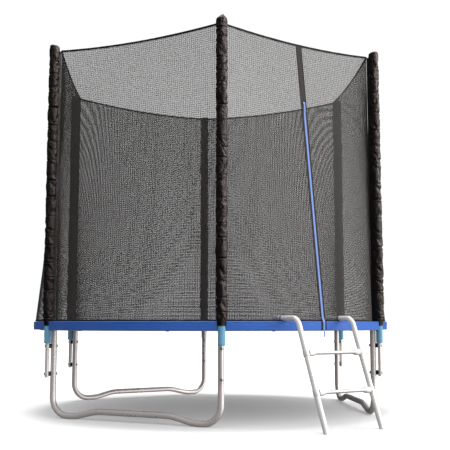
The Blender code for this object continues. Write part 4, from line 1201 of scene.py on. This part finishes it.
class TRAMPOLINE_OT_pad(Builder, bpy.types.Operator):
    """Add the safety pad with its skirt, seams and puckers"""
    bl_idname = "trampoline.add_pad"
    bl_label = "Safety pad"

    def build(self, scene):
        look = scene.trampoline_pad
        vinyl = finish("blue_vinyl", pad_vinyl, look.vinyl)
        turns = self.turns()
        rows = self.cover_rows(turns, look)
        item = add_piece("pad_cover", Shape().grid(rows, around=True, along=True), "frame", [vinyl],
                         ["safety_pad"], sharp=70)
        self.add_seams(look)

    def turns(self):
        """Angles round the pad, closer together at the notches for the poles."""
        base = np.arange(0, 2 * math.pi, 0.0040)
        near = np.linspace(-0.045, 0.045, 61)
        every = [base] + [np.mod(turn + near, 2 * math.pi) for turn in POLE_TURNS]
        keep = np.ones(len(base), bool)
        for turn in POLE_TURNS:
            keep &= np.abs(np.mod(base - turn + math.pi, 2 * math.pi) - math.pi) > 0.0475
        every[0] = base[keep]
        return np.sort(np.concatenate(every))

    def cover_rows(self, turns, look):
        """Cross-sections of the cover: up the skirt, over the top and back underneath."""
        top = PAD_TOP_Z
        under = RING_Z + TUBE_RADIUS + 0.001
        to_pole = np.min([np.abs(np.mod(turns - turn + math.pi, 2 * math.pi) - math.pi) for turn in POLE_TURNS],
                         axis=0)
        notch = FOAM_RADIUS + 0.0045
        sideways = POLE_CIRCLE * np.sin(to_pole)
        cut = POLE_CIRCLE * np.cos(to_pole) - np.sqrt(np.maximum(notch ** 2 - sideways ** 2, 0.0))
        inside = sideways < notch
        outer = np.where(inside, np.minimum(PAD_OUTER, cut), PAD_OUTER)
        skirt = np.where(inside, under - 0.001, PAD_SKIRT_Z)
        seam = self.seam_dip(turns)
        rows = []

        def ring(radius, z):
            radius, z = np.broadcast_arrays(radius, z)
            rows.append(np.stack([radius * np.cos(turns), radius * np.sin(turns), z], -1))

        pucker = self.puckers(turns, look)
        ripple = 0.0012 * rumple(np.stack([turns * 1.25, turns * 0, turns * 0], -1), 0.11, 5)
        for share in (0.0, 0.12, 0.30, 0.50, 0.66, 0.78):
            z = skirt + (top - 0.0205 - skirt) * share / 0.78
            wave = ripple * (1 - share) * ~inside
            ring(outer + wave - 0.0004 * seam, np.minimum(z, top - 0.0205))
        for drop, bite in ((0.0185, 0.18), (0.0168, 0.45), (0.0152, 0.80), (0.0138, 1.0), (0.0124, 0.92),
                           (0.0112, 0.55), (0.0100, 0.18), (0.0086, 0.0)):
            ring(outer - bite * pucker - 0.0004 * seam, top - drop)
        ring(outer + 0.0004 - 0.0010 * seam, top - 0.0068)
        ring(outer - 0.0008 - 0.0010 * seam, top - 0.0038)
        ring(outer - 0.0032 - 0.0010 * seam, top - 0.0016)
        inner = np.full_like(turns, PAD_INNER)
        width = outer - inner
        for share in (0.972, 0.94, 0.90, 0.84, 0.76, 0.66, 0.56, 0.46, 0.36, 0.26, 0.18, 0.11, 0.06, 0.03):
            radius = inner + width * share
            place = np.stack([radius * np.cos(turns), radius * np.sin(turns), turns * 0], -1)
            crown = 0.0030 * (1 - np.abs(2 * share - 1) ** 3)
            crumple = 0.0011 * rumple(place, 0.055, 21) + 0.0007 * rumple(place, 0.024, 22)
            z = top - 0.0030 + crown + crumple * min(1.0, (1 - share) * 12) - 0.0065 * seam
            ring(radius, np.minimum(z - self.ladder_press(place), top))
        ring(inner + 0.0030, top - 0.0050 - 0.005 * seam)
        ring(inner + 0.0008, top - 0.0085 - 0.004 * seam)
        ring(inner + 0.0001, (top + under) / 2)
        ring(inner + 0.0010, under + 0.0030)
        ring(inner + 0.0040, under + 0.0004)
        for share in (0.25, 0.5, 0.75):
            ring(inner + 0.004 + (outer - 0.008 - inner) * share, under)
        ring(outer - 0.0024, under)
        ring(outer - 0.0024, np.minimum(under - 0.0005, skirt + 0.010))
        ring(outer - 0.0022, skirt + 0.0001)
        return np.array(rows)[:, ::-1]

    def puckers(self, turns, look):
        """Depth of the small dents that the skirt's seam pulls in."""
        generator = np.random.default_rng(7)
        depth = np.zeros_like(turns)
        place = 0.0
        while place < 2 * math.pi * PAD_OUTER:
            centre = place / PAD_OUTER
            half = generator.uniform(0.010, 0.017) / PAD_OUTER
            apart = np.abs(np.mod(turns - centre + math.pi, 2 * math.pi) - math.pi)
            depth = np.maximum(depth, generator.uniform(0.7, 1.0) * np.exp(-(apart / half) ** 2 * 1.2))
            place += look.pucker_spacing * generator.uniform(0.8, 1.2)
        return depth * look.pucker_depth

    def seam_dip(self, turns):
        """1 along the radial seams between the pad's six sections, else 0."""
        apart = np.min([np.abs(np.mod(turns - turn + math.pi, 2 * math.pi) - math.pi) for turn in PANEL_TURNS],
                       axis=0)
        return np.exp(-(apart * RING_RADIUS / 0.006) ** 2)

    def ladder_press(self, place):
        """How far the ladder's rails press into the pad."""
        press = np.zeros(len(place))
        for x in LADDER_X:
            reach = np.maximum(0.0, 1 - np.abs(place[:, 0] - x) / 0.030)
            press = np.maximum(press, 0.0024 * ease(reach) * (place[:, 1] < LADDER_HOOK_Y + 0.02))
        return press

    def add_seams(self, look):
        """Stitches on each side of the radial seams, and the piping at the pad's inner edge."""
        sewing = finish("blue_thread", thread, shade(look.vinyl, 1.3))
        vinyl = finish("blue_vinyl", pad_vinyl, look.vinyl)
        shape = Shape()
        for turn in PANEL_TURNS:
            for side in (-0.0075, 0.0075):
                reach = np.linspace(PAD_INNER + 0.014, PAD_OUTER - 0.016, 20)
                line = turned(np.stack([reach, np.full(20, side), np.full(20, PAD_TOP_Z - 0.0022)], -1), turn)
                shape.stitches(line, 0.008, 0.0055, 0.0006)
        add_piece("pad_seam_stitching", shape, "frame", [sewing])
        piping = Shape()
        turns = np.linspace(0, 2 * math.pi, 360, endpoint=False)
        line = np.stack([(PAD_INNER + 0.0006) * np.cos(turns), (PAD_INNER + 0.0006) * np.sin(turns),
                         np.full(360, PAD_TOP_Z - 0.0100)], -1)
        piping.tube(line, 0.0022, 8, closed=True)
        add_piece("pad_inner_piping", piping, "frame", [vinyl])


class TRAMPOLINE_OT_straps(Builder, bpy.types.Operator):
    """Add the elastic straps that hold the pad down to the ring"""
    bl_idname = "trampoline.add_straps"
    bl_label = "Pad straps"

    def build(self, scene):
        tape = finish("black_webbing", webbing, TAPE_BLACK)
        under = RING_Z + TUBE_RADIUS + 0.0006
        loop = arc((RING_RADIUS, 0, RING_Z), (RING_RADIUS - TUBE_RADIUS - 0.0016, 0, RING_Z), (0, 1, 0),
                   -math.pi, 18)
        start = np.array([(RING_RADIUS - TUBE_RADIUS - 0.0016, 0, under - 0.001)])
        end = np.array([(RING_RADIUS + TUBE_RADIUS + 0.0016, 0, under - 0.001)])
        path = np.concatenate([start, loop, end])
        facing = path - np.array([RING_RADIUS, 0, RING_Z])
        facing[0], facing[-1] = (-1, 0, 0), (1, 0, 0)
        for number in range(12):
            turn = math.radians(15 + 30 * number)
            shape = Shape().band(turned(path, turn), turned(facing, turn), 0.020, 0.0011)
            add_piece(f"pad_strap_{number + 1}", shape, "frame", [tape])


class TRAMPOLINE_OT_net(Builder, bpy.types.Operator):
    """Add the six knitted net panels, cord by cord"""
    bl_idname = "trampoline.add_net"
    bl_label = "Net panels"

    def build(self, scene):
        look = scene.trampoline_net
        cord = finish("black_mesh", knitted_cord, look.cord)
        for number, turn in enumerate(PANEL_TURNS, start=1):
            shape = self.panel(number, look)
            item = add_piece(f"knitted_panel_{number}", shape, "frame", [cord],
                             [f"net_panel_{number}"], turn, sharp=80)
            item.visible_shadow = False

    def panel(self, number, look):
        """Crossing cords, of which every third is thicker, in both directions."""
        shape = Shape()
        thick, thin = look.cord_width * 1.47, look.cord_width * 0.77
        count = 3 * int(round(2 * NET_HALF_WIDTH / look.group_across))
        for index in range(count + 1):
            across = 2 * index / count - 1
            low = 0.0
            if number == 1:
                low = self.start_above(across * NET_HALF_WIDTH)
            up = np.concatenate([np.linspace(low, 0.06, 4), np.linspace(0.06, 1, 34)[1:]])
            points = self.slack(net_point(across, up), across, up, number)
            self.cord(shape, points, (0, -1, 0), thin if index % 3 else thick)
        count = 3 * int(round((NET_TOP_Z - NET_LOW_Z) / look.group_up))
        for index in range(1, count):
            up = index / count
            z = NET_LOW_Z + (NET_TOP_Z - NET_LOW_Z) * up
            for start, end in self.spans(z) if number == 1 else [(-NET_HALF_WIDTH, NET_HALF_WIDTH)]:
                across = np.linspace(start, end, max(3, int((end - start) / 0.043) + 1))
                across = across / NET_HALF_WIDTH
                points = self.slack(net_point(across, up), across, up, number) + np.array([CORD_REACH, 0, 0])
                self.cord(shape, points, (0, 0, 1), thin if index % 3 else thick)
        return shape

    def cord(self, shape, points, side, width):
        side = np.array(side) * width / 2
        out = np.array([CORD_REACH, 0.0, 0.0])
        rows = np.stack([points + side, points + out, points - side, points - out], 1)
        shape.grid(rows, around=True, caps=True)

    def slack(self, points, across, up, number):
        """Slight billow in bumps drawn out up and down, fading out towards the poles, the top and the foot."""
        across, up = np.broadcast_arrays(across, up)
        loose = np.cos(np.pi * across / 2) * np.sin(np.pi * up)
        billow = 0.0035 * rumple(points * np.array([1, 1, 0.35]), 0.22, 90 + number)
        billow = (billow + 0.0012 * rumple(points, 0.09, 95 + number)) * np.clip(loose * 3, 0, 1)
        return points + billow[:, None] * np.array([1.0, 0.0, 0.0])

    def start_above(self, y):
        """Where an upright cord starts, from 0 to 1: above a ladder rail if one is in its way."""
        reach = LADDER_RADIUS + 0.0050
        for x in LADDER_X:
            if abs(y - x) < reach:
                return (LADDER_TOP_Z + math.sqrt(reach ** 2 - (y - x) ** 2) - NET_LOW_Z) / (NET_TOP_Z - NET_LOW_Z)
        if abs(y) < 0.005:
            return 0.058
        return 0.0

    def spans(self, z):
        """Stretches of a level cord of the entrance panel between the zip and the ladder's rails."""
        gaps = []
        if z < SLIDER_Z + 0.010:
            gaps.append((-0.008, 0.008))
        reach = LADDER_RADIUS + 0.0050
        if abs(z - LADDER_TOP_Z) < reach:
            half = math.sqrt(reach ** 2 - (z - LADDER_TOP_Z) ** 2)
            gaps += [(x - half, x + half) for x in LADDER_X]
        edges = [-NET_HALF_WIDTH, *(edge for gap in sorted(gaps) for edge in gap), NET_HALF_WIDTH]
        return list(zip(edges[::2], edges[1::2]))


class TRAMPOLINE_OT_edging(Builder, bpy.types.Operator):
    """Add the hem and rope along the net's top, its bottom hem and the bound ladder openings"""
    bl_idname = "trampoline.add_edging"
    bl_label = "Net edging"

    def build(self, scene):
        tape = finish("net_binding", webbing, BINDING_BLACK)
        sewing = finish("black_thread", thread, THREAD_BLACK)
        across = np.linspace(-1, 1, 90)
        for number, turn in enumerate(PANEL_TURNS, start=1):
            top = net_point(across, 1.0) + np.array([0, 0, 0.0005])
            shape = Shape()
            shape.grid(self.hem_rows(top, 0.0048, 0.0068, number), around=True, caps=True)
            for side in (-1, 1):
                line = top + np.array([side * 0.0038, 0, -0.0062])
                shape.stitches(line, 0.012, 0.008, 0.0005, mark=1)
            add_piece(f"net_top_rope_{number}", shape, "frame", [tape, sewing], (), turn)
            foot = net_point(across, 0.0) + np.array([0, 0, 0.0035])
            hem = Shape().grid(self.hem_rows(foot, 0.0022, 0.0044, number + 6), around=True, caps=True)
            add_piece(f"net_foot_hem_{number}", hem, "frame", [tape], (), turn)
        openings = Shape()
        for x in LADDER_X:
            turns = np.linspace(-0.35, math.pi + 0.35, 30)
            reach = LADDER_RADIUS + 0.0060
            y = x + reach * np.cos(turns)
            z = LADDER_TOP_Z + reach * np.sin(turns)
            share = np.clip((z - NET_LOW_Z) / (NET_TOP_Z - NET_LOW_Z), 0.0, 1.0)
            path = net_point(y / (SEAM_CIRCLE * 0.5), share)
            path[:, 1] = y
            path[:, 2] = np.maximum(z, NET_LOW_Z + 0.001)
            openings.tube(path + np.array([0.0008, 0, 0]), 0.0024, 8)
        add_piece("ladder_opening_binding", openings, "frame", [tape], (), PANEL_TURNS[0])

    def hem_rows(self, path, half_depth, half_height, seed):
        """Flattened tube along the net's edge, with the rope swelling inside it."""
        turns = np.linspace(0, 2 * math.pi, 16, endpoint=False)
        swell = 1 + 0.10 * rumple(path * 1.0 + seed, 0.03, seed)
        rows = np.zeros((len(path), 16, 3))
        rows[..., 0] = path[:, None, 0] + half_depth * np.cos(turns)[None] * swell[:, None]
        rows[..., 1] = path[:, None, 1]
        rows[..., 2] = path[:, None, 2] + half_height * np.sin(turns)[None] * swell[:, None]
        return rows[::-1]


class TRAMPOLINE_OT_zip(Builder, bpy.types.Operator):
    """Add the zip: its tape, chain, slider and the tail that hangs below the pad"""
    bl_idname = "trampoline.add_zip"
    bl_label = "Zip"

    def build(self, scene):
        look = scene.trampoline_net
        tape = finish("zip_tape", webbing, look.zip_tape)
        edge = finish("net_binding", webbing, BINDING_BLACK)
        chain = finish("light_blue_zip", zip_plastic, look.zip_chain)
        turn = PANEL_TURNS[0]
        normal = net_normal()
        path, facing = self.path(normal)
        width = 0.036 + 0.011 * np.clip((path[:, 2] - NET_LOW_Z) / 1.8, 0.0, 1.0)
        shape = Shape().band(path, facing, width, 0.0014)
        for side in (-1, 1):
            edge_line = path + facing * 0.0008
            edge_line[:, 1] += side * (width / 2 - 0.0015)
            shape.tube(edge_line, 0.0014, 6, mark=1)
        add_piece("zip_tape_band", shape, "frame", [tape, edge], ["zip_tape"], turn)

        closed = path[:, 2] < SLIDER_Z
        line, faces = path[closed], facing[closed]
        teeth = Shape().band(line + faces * 0.0011, faces, 0.0140, 0.0012)
        fine = spaced(line, 0.0048)
        lift = np.stack([np.interp(-fine[:, 2], -line[:, 2], faces[:, axis]) for axis in range(3)], -1)
        for index, (point, face) in enumerate(zip(fine, lift)):
            side = 0.0016 * (-1) ** index
            low = point + face * 0.0016 + np.array([0, side - 0.0042, 0])
            high = point + face * 0.0016 + np.array([0, side + 0.0042, 0])
            teeth.tube(np.array([low, (low + high) / 2 + face * 0.0007, high]), [0.0012, 0.0016, 0.0012], 6)
        end = path[-1]
        tail = np.array([end + (0.001, 0, 0.010), end + (0.0016, 0.0005, -0.006), end + (0.0022, 0.001, -0.022),
                         end + (0.0020, 0.001, -0.040)])
        teeth.band(spaced(tail, 0.004), (1, 0, 0), 0.0120, 0.0022)
        add_piece("zip_chain", teeth, "frame", [chain], (), turn)
        self.add_slider(chain, normal, turn)

    def path(self, normal):
        """Middle line of the tape from the net's top edge down over the pad's skirt, with its face."""
        top, foot = net_point(0.0, 1.0), net_point(0.0, 0.0)
        lift = 0.0022
        skirt = PAD_OUTER + 0.0014
        main = spaced(np.array([top + normal * lift, foot + (top - foot) * 0.012 + normal * lift]), 0.012)
        drop = np.array([(skirt, 0, PAD_TOP_Z - 0.008), (skirt, 0, (PAD_TOP_Z + PAD_SKIRT_Z) / 2),
                         (skirt, 0, PAD_SKIRT_Z + 0.0005)])
        bend = spaced(np.array([main[-1], (skirt, 0, PAD_TOP_Z - 0.004)]), 0.006)[1:]
        path = np.concatenate([main, bend, drop])
        along = unit(np.gradient(path, axis=0))
        facing = np.stack([-along[:, 2], along[:, 1] * 0, along[:, 0]], -1)
        return path, facing

    def add_slider(self, chain, normal, turn):
        top, foot = net_point(0.0, 1.0), net_point(0.0, 0.0)
        share = (SLIDER_Z - foot[2]) / (top[2] - foot[2])
        base = foot + (top - foot) * share + normal * 0.0036
        along = unit(top - foot)
        side = np.array([0.0, 1.0, 0.0])

        def at(out, across, rise):
            return base + normal * out + side * across + along * rise

        shape = Shape()
        outline = [(-0.0130, 0.0050), (-0.0060, 0.0062), (0.0040, 0.0072), (0.0110, 0.0072), (0.0130, 0.0058)]
        for level in (0.0004, 0.0042):
            ring = np.array([[at(level, -half, rise), at(level, half, rise), at(level + 0.0014, half, rise),
                              at(level + 0.0014, -half, rise)] for rise, half in outline])
            shape.grid(ring, around=True, caps=True)
        shape.tube(np.array([at(0.0010, 0, 0.009), at(0.0050, 0, 0.009)]), 0.0022, 10)
        bridge = [at(0.0056, 0, 0.008), at(0.0078, 0, 0.005), at(0.0078, 0, -0.003), at(0.0056, 0, -0.006)]
        shape.tube(np.array(bridge), 0.0011, 8)
        pull = [at(0.0074, 0, 0.001), at(0.0070, 0, -0.010), at(0.0066, 0, -0.030), at(0.0064, 0, -0.055)]
        shape.band(spaced(pull, 0.003), normal, 0.0085, 0.0022)
        add_piece("zip_pull", shape, "slider", [chain], ["zip_slider"], turn)


class TRAMPOLINE_OT_ladder(Builder, bpy.types.Operator):
    """Add the ladder: two bent rails with foot plugs and two moulded rungs"""
    bl_idname = "trampoline.add_ladder"
    bl_label = "Ladder"

    def build(self, scene):
        look = scene.trampoline_ladder
        coating = finish("white_coated_steel", coated_steel, look.coating)
        tread = finish("grey_tread", coated_steel, look.tread)
        plug_finish = finish("white_plastic", moulded_plastic, PLUG_WHITE)
        for side, x in zip(("left", "right"), LADDER_X):
            path, down = ladder_path(x)
            shape = Shape()
            outer = tube_rows(path, LADDER_RADIUS, 32)
            inner = tube_rows(path, LADDER_RADIUS - 0.0015, 32)
            for rows in (outer, inner):
                flat = rows[0]
                reach = (FLOOR_Z + 0.0008 - flat[:, 2]) / down.z
                rows[0] = flat + reach[:, None] * np.array(down)
            shape.grid(np.concatenate([outer, inner[::-1]]), around=True, along=True)
            add_piece(f"coated_rail_{side}", shape, "ladder", [coating],
                      [f"ladder_rail_{side}"])
            self.add_plugs(side, path, down, plug_finish)
        for side, place in RUNGS.items():
            add_piece(f"moulded_rung_{side}", self.rung(place), "ladder", [tread],
                      [f"ladder_rung_{side}"])

    def add_plugs(self, side, path, down, material):
        """Plastic plug in the rail's foot and in its level end."""
        shape = Shape()
        bore = LADDER_RADIUS - 0.0019
        foot = tube_rows(np.array([path[0] - np.array(down) * 0.02, path[0]]), bore, 28)
        reach = (FLOOR_Z + 0.0004 - foot[1][:, 2]) / down.z
        foot[1] = foot[1] + reach[:, None] * np.array(down)
        shape.grid(foot[::-1][:, ::-1], around=True, caps=True)
        end = path[-1]
        turn = Matrix.Translation(end) @ Matrix.Rotation(-math.pi / 2, 4, "X")
        profile = [(bore, -0.012), (bore, 0.0003), (LADDER_RADIUS, 0.0004), (LADDER_RADIUS - 0.0008, 0.0018),
                   (LADDER_RADIUS - 0.005, 0.0030), (0.002, 0.0034)]
        shape.lathe(profile, 28, turn)
        add_piece(f"rail_plugs_{side}", shape, "ladder", [material])

    def rung(self, place):
        """Oval rung that flares into a socket at each rail, with a collar round the rail."""
        half = (LADDER_X[1] - LADDER_X[0]) / 2
        ends = half - LADDER_RADIUS - 0.0004
        stations = np.concatenate([np.linspace(-ends, -ends + 0.064, 15)[:-1],
                                   np.linspace(-ends + 0.064, ends - 0.064, 14),
                                   np.linspace(ends - 0.064, ends, 15)[1:]])
        turns = np.linspace(0, 2 * math.pi, 36, endpoint=False)
        cos, sin = np.cos(turns), np.sin(turns)
        y = np.sign(cos) * np.abs(cos) ** 0.75
        z = np.sign(sin) * np.abs(sin) ** 0.75
        flare = ease(1 - (ends - np.abs(stations) - 0.022) / 0.036)
        tall = 0.0105 + 0.0075 * flare
        deep = 0.0180 + 0.0005 * flare
        rows = np.stack([np.broadcast_to(stations[:, None], (len(stations), 36)), deep[:, None] * y[None],
                         tall[:, None] * z[None]], -1)
        lower = rows[..., 2] < 0
        hollow = 0.35 * (1 - flare)[:, None] * np.clip(-rows[..., 2] / 0.0105, 0, 1)
        rows[..., 1] *= np.where(lower, 1 - hollow, 1.0)
        centre = np.array([(LADDER_X[0] + LADDER_X[1]) / 2, place.y, place.z])
        shape = Shape().grid(rows + centre, around=True, caps=True)
        _, down = ladder_path(LADDER_X[0])
        axis = -np.array(down)
        for x in LADDER_X:
            at = np.array([x, place.y, place.z])
            reach = np.array([-0.0185, -0.0178, -0.0160, 0.0160, 0.0178, 0.0185])
            radius = LADDER_RADIUS + np.array([0.0003, 0.0016, 0.0024, 0.0024, 0.0016, 0.0003])
            path = at + reach[:, None] * axis
            outer = tube_rows(path, radius, 32)
            inner = tube_rows(path[[0, -1]], LADDER_RADIUS + 0.0002, 32)[::-1]
            shape.grid(np.concatenate([outer, inner]), around=True, along=True)
        return shape


# ---------------------------------------------------------------- panel and registration

BUILDERS = (TRAMPOLINE_OT_stage, TRAMPOLINE_OT_rails, TRAMPOLINE_OT_legs, TRAMPOLINE_OT_poles,
            TRAMPOLINE_OT_bolts, TRAMPOLINE_OT_foam, TRAMPOLINE_OT_pockets, TRAMPOLINE_OT_mat,
            TRAMPOLINE_OT_springs, TRAMPOLINE_OT_pad, TRAMPOLINE_OT_straps, TRAMPOLINE_OT_net,
            TRAMPOLINE_OT_edging, TRAMPOLINE_OT_zip, TRAMPOLINE_OT_ladder)

LOOKS = {"trampoline_frame": FrameLook, "trampoline_sleeve": SleeveLook, "trampoline_mat": MatLook,
         "trampoline_pad": PadLook, "trampoline_net": NetLook, "trampoline_ladder": LadderLook,
         "trampoline_stage": StageLook}


class TRAMPOLINE_PT_builders(bpy.types.Panel):
    """Lists the sizes, the colours and the operators"""
    bl_idname = "TRAMPOLINE_PT_builders"
    bl_label = "Garden Trampoline"
    bl_space_type = "VIEW_3D"
    bl_region_type = "UI"
    bl_category = "Trampoline"

    def draw(self, context):
        for name, look in LOOKS.items():
            box = self.layout.box()
            settings = getattr(context.scene, name)
            for key in look.__annotations__:
                box.prop(settings, key)
        for builder in BUILDERS:
            self.layout.operator(builder.bl_idname)


CLASSES = (*LOOKS.values(), *BUILDERS, TRAMPOLINE_PT_builders)


def register():
    for item in CLASSES:
        bpy.utils.register_class(item)
    for name, look in LOOKS.items():
        setattr(bpy.types.Scene, name, PointerProperty(type=look))


def unregister():
    for name in LOOKS:
        delattr(bpy.types.Scene, name)
    for item in reversed(CLASSES):
        bpy.utils.unregister_class(item)


def main():
    register()
    for builder in BUILDERS:
        group, call = builder.bl_idname.split(".")
        getattr(getattr(bpy.ops, group), call)()
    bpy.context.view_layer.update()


if __name__ == "__main__":
    main()
